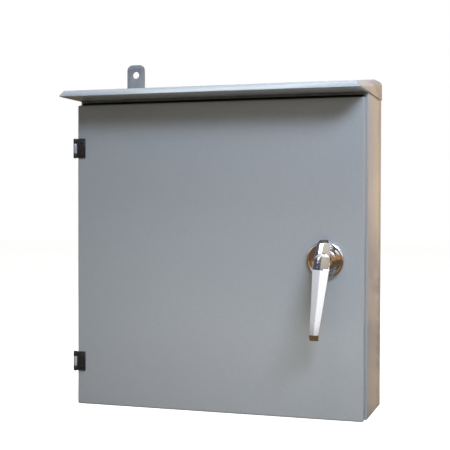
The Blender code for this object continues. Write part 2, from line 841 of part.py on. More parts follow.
def interlock_slide(paints):
    """Bar that links both toggles, so that one source opens as the other closes."""
    bar = box(
        "interlock_slide",
        (-0.140, SLIDE_FRONT, 0.0440),
        (0.140, SLIDE_BACK, 0.0660),
        paints["zinc"],
    )
    for name, x, half_x, half_z in (
        ("left", -BREAKER_X, 0.0055, 0.0058),
        ("right", BREAKER_X, 0.0055, 0.0058),
        ("middle", 0.0, 0.0031, 0.0050),
    ):
        cut_box(
            bar,
            f"slide_slot_{name}",
            (x - half_x, SLIDE_FRONT - 0.01, BREAKER_Z - half_z),
            (x + half_x, SLIDE_BACK + 0.01, BREAKER_Z + half_z),
        )


def manual_lever(paints):
    """Hand lever on the gearbox; its pin moves the interlock slide."""
    plate_front, plate_back = -0.1020, -0.0990
    points = [
        *arc((0.0, LEVER_PIVOT_Z), 0.0085, 180, 360, 8),
        *arc((0.0, 0.094), 0.0055, 0, 180, 8),
    ]
    lever = front_plate("manual_lever", points, plate_front, plate_back, paints["red"])
    shaft = ((0, -0.072 - GAP, LEVER_PIVOT_Z), (0, plate_back - 0.001, LEVER_PIVOT_Z))
    pin = ((0, SLIDE_BACK + 0.002, BREAKER_Z), (0, plate_back - 0.001, BREAKER_Z))
    knob = ((0, plate_front + 0.001, 0.092), (0, -0.1180, 0.092))
    join(lever, cylinder("lever_shaft", *shaft, 0.0050, segments=12, helper=True))
    join(lever, cylinder("lever_pin", *pin, 0.0025, segments=12, helper=True))
    join(lever, cylinder("lever_knob", *knob, 0.0065, segments=16, helper=True))


def terminals(paints):
    block = box(
        "load_terminal_block", (-0.058, -0.060, -0.110), (0.058, ON_PANEL, -0.070), paints["moulded"]
    )
    for index, x in enumerate((-0.042, -0.014, 0.014, 0.042)):
        cut_box(
            block,
            f"load_pocket_{index}",
            (x - 0.009, -0.070, -0.120),
            (x + 0.009, -0.040, -0.088),
        )
    box(
        "neutral_bar_insulator",
        (-0.178, -0.036, -0.082),
        (-0.074, ON_PANEL, -0.056),
        paints["moulded"],
    )
    neutral = box(
        "neutral_bar", (-0.172, -0.036 - GAP - 0.012, -0.077), (-0.080, -0.036 - GAP, -0.061), paints["brass"]
    )
    ground = box(
        "ground_bar", (0.074, ON_PANEL - 0.014, -0.190), (0.178, ON_PANEL, -0.174), paints["brass"]
    )
    for bar, first, z in ((neutral, -0.165, -0.069), (ground, 0.081, -0.182)):
        for i in range(7):
            x = first + i * 0.013
            hole = ((x, 0.0, z - 0.02), (x, 0.0, z + 0.02))
            middle = -0.0423 if bar is neutral else ON_PANEL - 0.007
            start, end = [(spot[0], middle, spot[2]) for spot in hole]
            cut_hole(bar, f"bar_hole_{i}", start, end, 0.0032, 8)


def jumper(paints, name, side, pole, block_x, depth):
    """Load cable from a breaker's inner terminal, down beside the gearbox to the load block."""
    start_z = BREAKER_Z + pole * 0.018
    gap_x = side * 0.0455
    points = [
        (side * 0.0700, depth, start_z),
        (side * 0.0590, depth, start_z),
        (side * 0.0490, depth, start_z - 0.006),
        (gap_x, depth, start_z - 0.022),
        (gap_x, depth, -0.008),
        (side * 0.0450, depth * 0.6 - 0.0190, -0.030),
        (block_x, -0.0480, -0.050),
        (block_x, -0.0480, -0.060),
        (block_x, -0.0480, -0.070 + GAP),
    ]
    cable(name, points, 0.0042, paints["cable"])


def controller(paints):
    """Control unit over the breakers, with a face that holds a push button and a selector."""
    front = -0.060
    case = box(
        "controller_case", (-0.172, front, 0.124), (-0.030, ON_PANEL, 0.208), paints["light_case"]
    )
    round_edges(case, 0.002, 1)
    pocket = ((-0.056, front - 0.01, 0.148), (-0.056, front + 0.012, 0.148))
    cut_hole(case, "button_pocket", *pocket, 0.0068)
    face = box(
        "controller_face",
        (-0.168, front - GAP - 0.003, 0.128),
        (-0.034, front - GAP, 0.204),
        paints["moulded"],
    )
    cut_hole(face, "button_hole", *pocket, 0.0068)
    cut_box(face, "display_recess", (-0.158, -0.070, 0.158), (-0.086, -0.0622, 0.196))
    button = ((-0.056, -0.0695, 0.148), (-0.056, -0.0520, 0.148))
    smooth(cylinder("test_button", *button, 0.0060, paints["red"], 20))
    knob_face = front - 2 * GAP - 0.003
    knob = cylinder(
        "selector_knob",
        (-0.056, knob_face, 0.180),
        (-0.056, knob_face - 0.007, 0.180),
        0.0105,
        paints["moulded"],
        20,
    )
    join_box(knob, "knob_grip", (-0.0590, knob_face - 0.013, 0.1705), (-0.0530, knob_face - 0.006, 0.1895))


def rail_parts(paints):
    """Top-hat rail with a fuse holder and a relay clipped on its lips."""
    z, back = 0.166, ON_PANEL
    points = [
        (back, z - 0.0125),
        (back, z + 0.0125),
        (back - 0.0065, z + 0.0125),
        (back - 0.0065, z + 0.0175),
        (back - 0.0075, z + 0.0175),
        (back - 0.0075, z + 0.0115),
        (back - 0.0010, z + 0.0115),
        (back - 0.0010, z - 0.0115),
        (back - 0.0075, z - 0.0115),
        (back - 0.0075, z - 0.0175),
        (back - 0.0065, z - 0.0175),
        (back - 0.0065, z - 0.0125),
    ]
    middle, half = 0.095, 0.085
    rail = side_plate("din_rail", points, half, paints["zinc"])
    rail.location.x = middle
    clip = back - 0.0075 - GAP
    for name, low_x, high_x, front, height, paint in (
        ("control_fuse_holder", 0.020, 0.056, -0.066, 0.040, "light_case"),
        ("control_relay", 0.062, 0.098, -0.080, 0.034, "moulded"),
    ):
        holder = box(name, (low_x, front, z - height), (high_x, clip, z + height), paints[paint])
        round_edges(holder, 0.0012, 1)
        step = front + 0.016
        for sign in (-1, 1):
            near, far = z + sign * height * 0.52, z + sign * (height + 0.005)
            cut_box(
                holder,
                f"{name}_step_{sign + 1}",
                (low_x - 0.005, front - 0.005, min(near, far)),
                (high_x + 0.005, step, max(near, far)),
            )


def wiring_duct(paints):
    """Slotted trunking with its cover, under the load terminals."""
    low, high, front = -0.158, -0.128, -0.056
    duct = box(
        "wiring_duct", (-0.185, front, low), (0.060, ON_PANEL, high), paints["paper"]
    )
    cut_box(
        duct, "duct_inside", (-0.190, front + 0.002, low + 0.0018), (0.065, -0.0170, high - 0.0018)
    )
    for i in range(15):
        x = -0.176 + i * 0.016
        cut_box(duct, f"duct_slot_{i}", (x, front + 0.006, low - 0.01), (x + 0.007, -0.026, high + 0.01))


def control_harness(paints):
    points = [
        (-0.060, -0.040, 0.124 - GAP),
        (-0.060, -0.040, 0.1215),
        (-0.060, -0.040, 0.1190),
        (-0.050, -0.040, 0.1125),
        (-0.030, -0.041, 0.1110),
        (-0.010, -0.042, 0.1115),
        (0.003, -0.043, 0.1105),
        (0.008, -0.044, 0.1055),
        (0.008, -0.044, 0.1030),
        (0.008, -0.044, 0.100 + GAP),
    ]
    cable("control_harness", points, 0.0030, paints["cable"])


def main():
    clear_scene()
    paints = make_materials()
    enclosure_shell(paints)
    rain_hood(paints)
    mounting_lug(paints)
    header_seal(paints)
    gland_plate(paints)
    for side, height in HINGE_HEIGHTS.items():
        hinge(paints, side, height)
    door_panel(paints)
    door_gasket(paints)
    rosette(paints)
    spindle_nut(paints)
    rod_guide(paints, "rod_guide_upper", HANDLE_X - ROD_OFFSET, 0.185)
    rod_guide(paints, "rod_guide_lower", HANDLE_X + ROD_OFFSET, -0.185)
    document_pocket(paints)
    handle_lever(paints)
    handle_spindle(paints)
    latch_cam(paints)
    latch_rod(paints, "latch_rod_upper", 1)
    latch_rod(paints, "latch_rod_lower", -1)
    back_panel(paints)
    transfer_base(paints)
    breaker(paints, "normal", -1)
    breaker(paints, "standby", 1)
    drive(paints)
    interlock_slide(paints)
    manual_lever(paints)
    terminals(paints)
    jumper(paints, "jumper_normal_upper", -1, 1, -0.042, -0.0440)
    jumper(paints, "jumper_normal_lower", -1, -1, -0.014, -0.0600)
    jumper(paints, "jumper_standby_upper", 1, 1, 0.042, -0.0440)
    jumper(paints, "jumper_standby_lower", 1, -1, 0.014, -0.0600)
    controller(paints)
    rail_parts(paints)
    wiring_duct(paints)
    control_harness(paints)


if __name__ == "__main__":
    main()
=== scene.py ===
"""The looks of a wall-mounted automatic transfer switch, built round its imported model."""

import logging  # noqa: E402
import math  # noqa: E402
from collections.abc import Callable, Iterator, Sequence  # noqa: E402
from contextlib import contextmanager  # noqa: E402
from dataclasses import dataclass  # noqa: E402
from enum import Enum  # noqa: E402
from functools import cache  # noqa: E402

import bmesh  # noqa: E402
import bpy  # noqa: E402
from mathutils import Matrix, Vector  # noqa: E402

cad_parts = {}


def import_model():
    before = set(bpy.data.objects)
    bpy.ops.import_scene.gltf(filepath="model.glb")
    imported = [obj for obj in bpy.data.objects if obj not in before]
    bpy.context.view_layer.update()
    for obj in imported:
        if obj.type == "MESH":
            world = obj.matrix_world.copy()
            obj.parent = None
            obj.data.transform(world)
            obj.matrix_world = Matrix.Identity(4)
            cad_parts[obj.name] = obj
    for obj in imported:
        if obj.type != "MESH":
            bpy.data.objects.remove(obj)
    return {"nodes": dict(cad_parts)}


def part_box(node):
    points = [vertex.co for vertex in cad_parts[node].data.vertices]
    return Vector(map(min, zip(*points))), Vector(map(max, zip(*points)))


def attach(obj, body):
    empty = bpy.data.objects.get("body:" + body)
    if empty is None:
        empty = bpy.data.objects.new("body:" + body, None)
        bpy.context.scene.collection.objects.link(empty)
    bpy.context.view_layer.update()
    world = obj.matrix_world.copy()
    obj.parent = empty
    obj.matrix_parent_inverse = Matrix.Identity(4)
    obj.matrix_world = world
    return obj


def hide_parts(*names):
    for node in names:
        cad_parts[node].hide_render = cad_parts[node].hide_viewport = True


LOG = logging.getLogger("transfer_switch")

Point = tuple[float, float, float]
Colour = tuple[float, float, float]
Profile = tuple[tuple[float, float], ...]

ORIGIN: Point = (0, 0, 0)
FORWARD: Point = (0, -1, 0)
BACKWARD: Point = (0, 1, 0)
UP: Point = (0, 0, 1)

TOUCH = 1e-5  # coordinates closer than this are the same
FACING = 0.9  # a face points along an axis when its normal's share of it is above this
CLEAR = 0.01  # how far a cutter passes through what it cuts


class Body(str, Enum):
    """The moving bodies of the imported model."""

    ENCLOSURE = "enclosure"
    DOOR = "door"
    HANDLE = "handle"
    UPPER_ROD = "upper_rod"
    LOWER_ROD = "lower_rod"
    MANUAL_DRIVE = "manual_drive"
    INTERLOCK = "interlock"
    NORMAL_TOGGLE = "normal_toggle"
    STANDBY_TOGGLE = "standby_toggle"
    BUTTON = "button"
    SELECTOR = "selector"


class HeadStyle(Enum):
    """How a screw or nut is driven."""

    CROSS = "cross"
    SLOT = "slot"
    HEX_NUT = "hex_nut"


class Edge(float, Enum):
    """Widths of rounded edges, from nearly sharp to cushioned."""

    HAIRLINE = 0.00008
    CRISP = 0.0002
    FINE = 0.0003
    SLIGHT = 0.0004
    EASED = 0.0005
    SOFT = 0.0006
    SOFTER = 0.0007
    ROUND = 0.0008
    ROUNDER = 0.0009
    FULL = 0.0010
    PLUMP = 0.0014
    CUSHIONED = 0.0018


# --- shader building ------------------------------------------------------------------------------


class Graph:
    """A node tree being filled from left to right."""

    def __init__(self, tree: bpy.types.NodeTree) -> None:
        """Starts with an empty tree.

        Args:
            tree: The node tree to fill.
        """
        self.tree = tree
        tree.nodes.clear()

    def put(self, kind: str, inputs: dict | None = None, **settings: object) -> bpy.types.Node:
        """Adds a node, sets it and links it.

        Args:
            kind: The node's type, without the ShaderNode prefix.
            inputs: Input name or index to a value or to another node's output socket.
            **settings: Properties of the node.

        Returns:
            The new node.
        """
        prefix = "" if kind.startswith("Node") else "ShaderNode"
        made = self.tree.nodes.new(prefix + kind)
        made.location.x = 180.0 * len(self.tree.nodes)
        for key, value in settings.items():
            setattr(made, key, value)
        for key, value in (inputs or {}).items():
            if isinstance(value, bpy.types.NodeSocket):
                self.tree.links.new(value, made.inputs[key])
            else:
                made.inputs[key].default_value = value
        return made

    def group(self, tree: bpy.types.NodeTree, inputs: dict) -> bpy.types.NodeSocket:
        """Places a shared group with its own values, and gives its output."""
        return self.put("Group", inputs, node_tree=tree).outputs[0]

    def noise(self, scale: object, detail: float, place: object = None) -> bpy.types.NodeSocket:
        """Even noise, on Object coordinates unless others are given.

        Args:
            scale: Scale of the noise, a number or a socket.
            detail: Octaves.
            place: Socket of other coordinates.

        Returns:
            The noise's value.
        """
        if place is None:
            place = self.put("TexCoord").outputs["Object"]
        return self.put("TexNoise", {"Vector": place, "Scale": scale, "Detail": detail}).outputs["Fac"]

    def math(self, operation: str, first: object, second: object,
             clamp: bool = True) -> bpy.types.NodeSocket:
        """The result of a Math node, kept between 0 and 1 unless clamp is off."""
        node = self.put("Math", {0: first, 1: second}, operation=operation, use_clamp=clamp)
        return node.outputs["Value"]

    def stretch(self, place: bpy.types.NodeSocket, by: object) -> bpy.types.NodeSocket:
        """A vector multiplied by another, part by part."""
        return self.put("VectorMath", {0: place, 1: by}, operation="MULTIPLY").outputs["Vector"]

    def spread(self, value: bpy.types.NodeSocket, low: object, high: object, start: float = 0.3,
               end: float = 0.7) -> bpy.types.NodeSocket:
        """Maps a value from the range start to end to the range low to high, clamped."""
        inputs = {"Value": value, "From Min": start, "From Max": end, "To Min": low, "To Max": high}
        return self.put("MapRange", inputs).outputs["Result"]

    def mix(self, factor: object, first: object, second: object,
            blend: str = "MIX") -> bpy.types.NodeSocket:
        """Blends two colours, by the share that the second one has."""
        node = self.put("Mix", {0: factor, 6: first, 7: second}, data_type="RGBA", blend_type=blend)
        return node.outputs[2]

    def by_ray(self, kind: str, others: bpy.types.Node, chosen: bpy.types.Node) -> bpy.types.Node:
        """A shader node for one kind of ray, mixed with another for all other rays."""
        ray = self.put("LightPath").outputs[kind]
        return self.put("MixShader", {0: ray, 1: others.outputs[0], 2: chosen.outputs[0]})


class SurfaceGroups:
    """Node groups that several finishes share, each built once."""

    def _start(self, name: str, inputs: Sequence[tuple[str, str, object]],
               output: tuple[str, str]) -> tuple[Graph, bpy.types.Node]:
        """Makes an empty group with its sockets.

        Args:
            name: Name of the group.
            inputs: Name, socket type and default of each input.
            output: Name and socket type of the output.

        Returns:
            The graph to fill and its input node.
        """
        tree = bpy.data.node_groups.new(name, "ShaderNodeTree")
        for label, kind, default in inputs:
            socket = tree.interface.new_socket(label, in_out="INPUT", socket_type="NodeSocket" + kind)
            socket.default_value = default
        tree.interface.new_socket(output[0], in_out="OUTPUT", socket_type="NodeSocket" + output[1])
        graph = Graph(tree)
        return graph, graph.put("NodeGroupInput")

    def _end(self, graph: Graph, result: bpy.types.NodeSocket) -> bpy.types.NodeTree:
        """Links the result to the group's output.

        Args:
            graph: The group's graph.
            result: What the group puts out.

        Returns:
            The finished group.
        """
        out = graph.put("NodeGroupOutput")
        graph.tree.links.new(result, out.inputs[0])
        return graph.tree

    @cache
    def mottle(self, speckle_scale: float = 420.0) -> bpy.types.NodeTree:
        """Uneven depth of a colour, from two sizes of noise.

        Args:
            speckle_scale: Scale of the finer noise.

        Returns:
            The group.
        """
        sockets = [("Color", "Color", (1, 1, 1, 1)), ("Amount", "Float", 0.05), ("Scale", "Float", 12.0),
                   ("Speckle", "Float", 0.03)]
        graph, given = self._start("uneven_colour", sockets, ("Color", "Color"))
        result = given.outputs["Color"]
        for depth, scale in (("Amount", given.outputs["Scale"]), ("Speckle", speckle_scale)):
            darker = graph.math("SUBTRACT", 1.0, given.outputs[depth], clamp=False)
            lighter = graph.math("ADD", 1.0, given.outputs[depth], clamp=False)
            level = graph.spread(graph.noise(scale, 4.0), darker, lighter)
            result = graph.mix(1.0, result, level, "MULTIPLY")
        return self._end(graph, result)

    @cache
    def peel(self, wave_scale: float = 9.0) -> bpy.types.NodeTree:
        """Height of a sprayed or moulded skin: fine dimples over a slow waviness.

        Args:
            wave_scale: Scale of the waviness.

        Returns:
            The group.
        """
        sockets = [("Scale", "Float", 700.0), ("Waviness", "Float", 0.3)]
        graph, given = self._start("orange_peel", sockets, ("Height", "Float"))
        fine = graph.noise(given.outputs["Scale"], 2.0)
        broad = graph.math("MULTIPLY", graph.noise(wave_scale, 1.0), given.outputs["Waviness"])
        return self._end(graph, graph.math("ADD", fine, broad, clamp=False))

    @cache
    def edge_wear(self, chip_scale: float = 130.0) -> bpy.types.NodeTree:
        """Mask of rubbed edges: where a rounded normal leaves the true one, broken up by noise.

        Args:
            chip_scale: Scale of the noise that breaks it up.

        Returns:
            The group.
        """
        sockets = [("Width", "Float", 0.0008), ("Amount", "Float", 0.5)]
        graph, given = self._start("edge_wear", sockets, ("Mask", "Float"))
        rounded = graph.put("Bevel", {"Radius": given.outputs["Width"]}, samples=4).outputs["Normal"]
        true = graph.put("NewGeometry").outputs["Normal"]
        product = graph.put("VectorMath", {0: rounded, 1: true}, operation="DOT_PRODUCT")
        edge = graph.spread(product.outputs["Value"], 1.0, 0.0, 0.80, 0.99)
        chips = graph.spread(graph.noise(chip_scale, 4.0), 0.0, 1.0, 0.45, 0.7)
        result = graph.math("MULTIPLY", graph.math("MULTIPLY", edge, chips), given.outputs["Amount"])
        return self._end(graph, result)

    @cache
    def dust(self) -> bpy.types.NodeTree:
        """Mask of dust on faces that look up.

        Returns:
            The group.
        """
        sockets = [("Amount", "Float", 0.2), ("Scale", "Float", 40.0)]
        graph, given = self._start("settled_dust", sockets, ("Mask", "Float"))
        normal = graph.put("NewGeometry").outputs["Normal"]
        upward = graph.put("SeparateXYZ", {0: normal}).outputs["Z"]
        level = graph.spread(upward, 0.0, 1.0, 0.5, 1.0)
        patchy = graph.spread(graph.noise(given.outputs["Scale"], 5.0), 0.25, 1.0)
        result = graph.math("MULTIPLY", graph.math("MULTIPLY", level, patchy), given.outputs["Amount"])
        return self._end(graph, result)

    @cache
    def hairlines(self, fineness: float = 900.0) -> bpy.types.NodeTree:
        """Mask of fine scratches that run mostly one way.

        Args:
            fineness: Scale of the scratches.

        Returns:
            The group.
        """
        sockets = [("Amount", "Float", 0.2), ("Stretch", "Vector", (1.0, 1.0, 0.03))]
        graph, given = self._start("hairline_scratches", sockets, ("Mask", "Float"))
        place = graph.put("TexCoord").outputs["Object"]
        streak = graph.noise(fineness, 2.0, graph.stretch(place, given.outputs["Stretch"]))
        lines = graph.spread(streak, 0.0, 1.0, 0.45, 0.75)
        return self._end(graph, graph.math("MULTIPLY", lines, given.outputs["Amount"]))


GROUPS = SurfaceGroups()
WEAR_WIDTH = 0.0007
DUST_SCALE = 60.0
DUST_COLOUR: Colour = (0.42, 0.4, 0.36)
GLOSS_SCALE = 23.0
LEAST_ROUGHNESS = 0.02


@dataclass(frozen=True)
class Finish:
    """A finish: its colour, gloss and surface, and the record's slot it belongs to."""

    name: str
    slot: str
    colour: Colour
    roughness: float
    metallic: float = 0.0
    mottling: float = 0.05
    mottle_scale: float = 14.0
    speckle: float = 0.03
    grain_scale: float = 700.0
    grain_depth: float = 0.00001
    waviness: float = 0.3
    gloss_spread: float = 0.05
    coat: float = 0.0
    coat_roughness: float = 0.1
    specular: float = 0.5
    worn: Colour = (0.5, 0.5, 0.5)
    wear: float = 0.0
    dusting: float = 0.0
    scratches: float = 0.0
    scratch_way: Point = (1.0, 1.0, 0.03)
    glow: float = 0.0

    def _base(self, graph: Graph) -> bpy.types.NodeSocket:
        """The colour, uneven, worn at the edges and dusty on top.

        Args:
            graph: The material's graph.

        Returns:
            The colour.
        """
        colour = graph.group(GROUPS.mottle(), {
            "Color": (*self.colour, 1),
            "Amount": self.mottling,
            "Scale": self.mottle_scale,
            "Speckle": self.speckle,
        })
        if self.wear:
            mask = graph.group(GROUPS.edge_wear(), {"Width": WEAR_WIDTH, "Amount": self.wear})
            colour = graph.mix(mask, colour, (*self.worn, 1))
        if self.dusting:
            mask = graph.group(GROUPS.dust(), {"Amount": self.dusting, "Scale": DUST_SCALE})
            colour = graph.mix(mask, colour, (*DUST_COLOUR, 1))
        return colour

    def _gloss(self, graph: Graph) -> bpy.types.NodeSocket:
        """Roughness that drifts over the surface, with scratches where there are any.

        Args:
            graph: The material's graph.

        Returns:
            The roughness.
        """
        low = max(LEAST_ROUGHNESS, self.roughness - self.gloss_spread)
        rough = graph.spread(graph.noise(GLOSS_SCALE, 5.0), low, self.roughness + self.gloss_spread)
        if self.scratches:
            inputs = {"Amount": self.scratches, "Stretch": self.scratch_way}
            rough = graph.math("ADD", rough, graph.group(GROUPS.hairlines(), inputs))
        return rough

    def material(self) -> bpy.types.Material:
        """The finish as a material, made once.

        Returns:
            The material.
        """
        made = bpy.data.materials.get(self.name)
        if made is not None:
            return made
        made = bpy.data.materials.new(self.name)
        made.use_nodes = True
        made.diffuse_color = (*self.colour, 1)
        graph = Graph(made.node_tree)
        peel = graph.group(GROUPS.peel(), {"Scale": self.grain_scale, "Waviness": self.waviness})
        bump = graph.put("Bump", {"Height": peel, "Strength": 1.0, "Distance": self.grain_depth})
        shader = graph.put("BsdfPrincipled", {
            "Base Color": self._base(graph),
            "Roughness": self._gloss(graph),
            "Metallic": self.metallic,
            "Coat Weight": self.coat,
            "Coat Roughness": self.coat_roughness,
            "Specular IOR Level": self.specular,
            "Normal": bump.outputs["Normal"],
        })
        if self.glow:
            shader.inputs["Emission Color"].default_value = (*self.colour, 1)
            shader.inputs["Emission Strength"].default_value = self.glow
        graph.put("OutputMaterial", {"Surface": shader.outputs["BSDF"]})
        return made


POWDER_COAT = Finish(
    name="grey_powder_coat", slot="painted_steel", colour=(0.305, 0.328, 0.356), roughness=0.24,
    coat=0.3, coat_roughness=0.07, mottling=0.004, mottle_scale=4.0, speckle=0.035, grain_scale=520.0,
    grain_depth=0.000008, gloss_spread=0.03, worn=(0.42, 0.44, 0.46), wear=0.35, dusting=0.12,
)
# The grey paint darkened to about two thirds for the lug alone: painted shade.
SHADED_LUG_COAT = Finish(
    name="grey_lug_coat_painted_shade", slot="painted_steel", colour=(0.185, 0.195, 0.208), roughness=0.42,
    mottle_scale=30.0, speckle=0.05, worn=(0.4, 0.41, 0.42), wear=0.4, dusting=0.1,
)
HINGE_BLACK = Finish(
    name="black_hinge_coat", slot="black_steel", colour=(0.008, 0.008, 0.009), roughness=0.42,
    worn=(0.12, 0.12, 0.12), wear=0.5, grain_scale=1400.0, grain_depth=0.00002,
)
# Black rubber for the plugs and gaskets; the same black also stands in for the deep shade of the gap over
# the door, as painted shade.
RUBBER_AND_PAINTED_SHADE = Finish(
    name="foamed_rubber_and_painted_shade", slot="rubber", colour=(0.025, 0.025, 0.022), roughness=0.82, mottling=0.12,
    mottle_scale=160.0, grain_scale=2600.0, grain_depth=0.00009, specular=0.3,
)
BEAD_SEALANT = Finish(
    name="grey_sealant", slot="rubber", colour=(0.22, 0.23, 0.24), roughness=0.55, mottling=0.06,
    mottle_scale=60.0, grain_scale=300.0, grain_depth=0.00006, waviness=1.0,
)
CHROME = Finish(
    name="polished_chrome", slot="chrome", colour=(0.83, 0.84, 0.86), roughness=0.06, metallic=1.0,
    mottling=0.02, gloss_spread=0.03, grain_scale=160.0, grain_depth=0.000012, waviness=1.0,
    scratches=0.06, scratch_way=(0.25, 0.25, 1.0),
)
ZINC = Finish(
    name="zinc_plate", slot="zinc_steel", colour=(0.6, 0.605, 0.58), roughness=0.34, metallic=1.0,
    mottling=0.1, mottle_scale=45.0, gloss_spread=0.055, grain_scale=900.0, grain_depth=0.00001,
    scratches=0.12, scratch_way=(1.0, 1.0, 0.05), dusting=0.06,
)
PANEL_ZINC = Finish(
    name="galvanised_panel", slot="zinc_steel", colour=(0.55, 0.565, 0.56), roughness=0.42, metallic=0.9,
    mottling=0.12, mottle_scale=80.0, gloss_spread=0.1, grain_scale=300.0, scratches=0.1,
    scratch_way=(1.0, 1.0, 0.02),
)
MOULDED_BLACK = Finish(
    name="moulded_thermoset", slot="moulded_black", colour=(0.028, 0.029, 0.032), roughness=0.5,
    mottling=0.08, grain_scale=1800.0, grain_depth=0.00003, dusting=0.1, worn=(0.1, 0.1, 0.1), wear=0.2,
)
LIGHT_PLASTIC = Finish(
    name="light_grey_plastic", slot="light_plastic", colour=(0.56, 0.565, 0.54), roughness=0.42,
    mottling=0.03, grain_scale=1500.0, grain_depth=0.00002, dusting=0.1,
)
POCKET_PLASTIC = Finish(
    name="grey_plastic", slot="clear_plastic", colour=(0.36, 0.37, 0.37), roughness=0.46, mottling=0.03,
    grain_scale=1100.0, grain_depth=0.00002, dusting=0.1,
)
BRASS = Finish(
    name="bar_brass", slot="brass", colour=(0.66, 0.46, 0.17), roughness=0.35, metallic=1.0,
    mottling=0.12, mottle_scale=60.0, scratches=0.15, scratch_way=(0.03, 1.0, 1.0), gloss_spread=0.06,
)
SIGNAL_RED = Finish(
    name="red_plastic", slot="red_plastic", colour=(0.5, 0.018, 0.014), roughness=0.32, mottling=0.04,
    coat=0.3, grain_scale=900.0, gloss_spread=0.04,
)
CABLE_BLACK = Finish(
    name="cable_jacket_black", slot="cable_jacket", colour=(0.014, 0.014, 0.015), roughness=0.5,
    grain_scale=2400.0, grain_depth=0.00003, mottling=0.1,
)
WIRE_RED = Finish(
    name="wire_red", slot="red_plastic", colour=(0.42, 0.02, 0.016), roughness=0.45, grain_scale=2400.0,
)
WIRE_BLUE = Finish(
    name="wire_blue", slot="cable_jacket", colour=(0.02, 0.06, 0.3), roughness=0.45, grain_scale=2400.0,
)
WIRE_YELLOW = Finish(
    name="wire_yellow", slot="cable_jacket", colour=(0.55, 0.38, 0.02), roughness=0.45, grain_scale=2400.0,
)
DISPLAY = Finish(
    name="display_glass", slot="moulded_black", colour=(0.05, 0.075, 0.05), roughness=0.07, coat=1.0,
    coat_roughness=0.03, mottling=0.04, grain_depth=0.000002,
)
LAMP_GREEN = Finish(
    name="lamp_green", slot="light_plastic", colour=(0.03, 0.5, 0.09), roughness=0.15, coat=0.8, glow=0.4,
)
LAMP_AMBER = Finish(
    name="lamp_amber", slot="light_plastic", colour=(0.7, 0.25, 0.02), roughness=0.15, coat=0.8, glow=0.1,
)
LAMP_RED = Finish(
    name="lamp_red", slot="red_plastic", colour=(0.5, 0.02, 0.02), roughness=0.15, coat=0.8, glow=0.05,
)


# --- hand tools -----------------------------------------------------------------------------------


def near(first: float, second: float) -> bool:
    """True for two coordinates that are the same but for rounding."""
    return abs(first - second) < TOUCH


def placed(name: str, data: bpy.types.ID) -> bpy.types.Object:
    """Puts a new object in the scene.

    Args:
        name: Name of the object.
        data: Its mesh, curve, lamp or camera.

    Returns:
        The object.
    """
    obj = bpy.data.objects.new(name, data)
    bpy.context.scene.collection.objects.link(obj)
    return obj


def pick(obj: bpy.types.Object) -> None:
    """Selects one object, and nothing else.

    Args:
        obj: The object.
    """
    bpy.ops.object.select_all(action="DESELECT")
    obj.select_set(True)
    bpy.context.view_layer.objects.active = obj


@contextmanager
def editing(obj: bpy.types.Object, mode: str = "FACE", action: str = "DESELECT") -> Iterator[None]:
    """Edit mode on one object.

    Args:
        obj: The object.
        mode: VERT, EDGE or FACE.
        action: DESELECT to start with nothing selected, SELECT with everything.

    Yields:
        Nothing, while the object is in edit mode.
    """
    pick(obj)
    bpy.ops.object.mode_set(mode="EDIT")
    bpy.ops.mesh.select_mode(type=mode)
    bpy.ops.mesh.select_all(action=action)
    yield
    bpy.ops.object.mode_set(mode="OBJECT")


def choose_faces(obj: bpy.types.Object, test: Callable[[bmesh.types.BMFace], bool]) -> None:
    """Selects the faces that pass a test, in edit mode.

    Args:
        obj: The object in edit mode.
        test: True for a face to select.
    """
    mesh = bmesh.from_edit_mesh(obj.data)
    mesh.normal_update()
    for face in mesh.faces:
        face.select_set(bool(test(face)))
    mesh.select_flush_mode()
    bmesh.update_edit_mesh(obj.data)


def choose_edges(obj: bpy.types.Object, test: Callable[[bmesh.types.BMEdge], bool]) -> None:
    """Selects the edges that pass a test, in edit mode.

    Args:
        obj: The object in edit mode.
        test: True for an edge to select.
    """
    mesh = bmesh.from_edit_mesh(obj.data)
    for edge in mesh.edges:
        edge.select_set(bool(test(edge)))
    mesh.select_flush_mode()
    bmesh.update_edit_mesh(obj.data)


def fit(obj: bpy.types.Object, low: Sequence[float], high: Sequence[float]) -> None:
    """Moves and scales what is selected until its box is the one asked for.

    Args:
        obj: The object in edit mode.
        low: Lowest corner of the box.
        high: Highest corner of the box.
    """
    mesh = bmesh.from_edit_mesh(obj.data)
    places = [v.co for v in mesh.verts if v.select]
    now_low = Vector(min(p[i] for p in places) for i in range(3))
    now_high = Vector(max(p[i] for p in places) for i in range(3))
    target = (Vector(low) + Vector(high)) / 2
    bpy.ops.transform.translate(value=target - (now_low + now_high) / 2)
    now, wanted = now_high - now_low, Vector(high) - Vector(low)
    ratio = [wanted[i] / now[i] if now[i] > TOUCH else 1.0 for i in range(3)]
    bpy.ops.transform.resize(value=ratio, center_override=target)


def pull(obj: bpy.types.Object, low: Sequence[float], high: Sequence[float]) -> None:
    """Extrudes the selected face, and fits the new one to a box."""
    bpy.ops.mesh.extrude_region_move()
    fit(obj, low, high)


def set_in(obj: bpy.types.Object, low: Sequence[float], high: Sequence[float]) -> None:
    """Insets the selected face, and fits the new one to a box."""
    bpy.ops.mesh.inset(thickness=0.0005)
    fit(obj, low, high)


def block(name: str, low: Sequence[float], high: Sequence[float]) -> bpy.types.Object:
    """A cube primitive, stretched between two corners, its place in its mesh.

    Args:
        name: Name of the object.
        low: Lowest corner.
        high: Highest corner.

    Returns:
        The object.
    """
    bpy.ops.object.select_all(action="DESELECT")
    bpy.ops.mesh.primitive_cube_add(size=1, location=(Vector(low) + Vector(high)) / 2)
    obj = bpy.context.object
    obj.name = obj.data.name = name
    obj.scale = Vector(high) - Vector(low)
    bpy.ops.object.transform_apply(location=True, rotation=True, scale=True)
    return obj


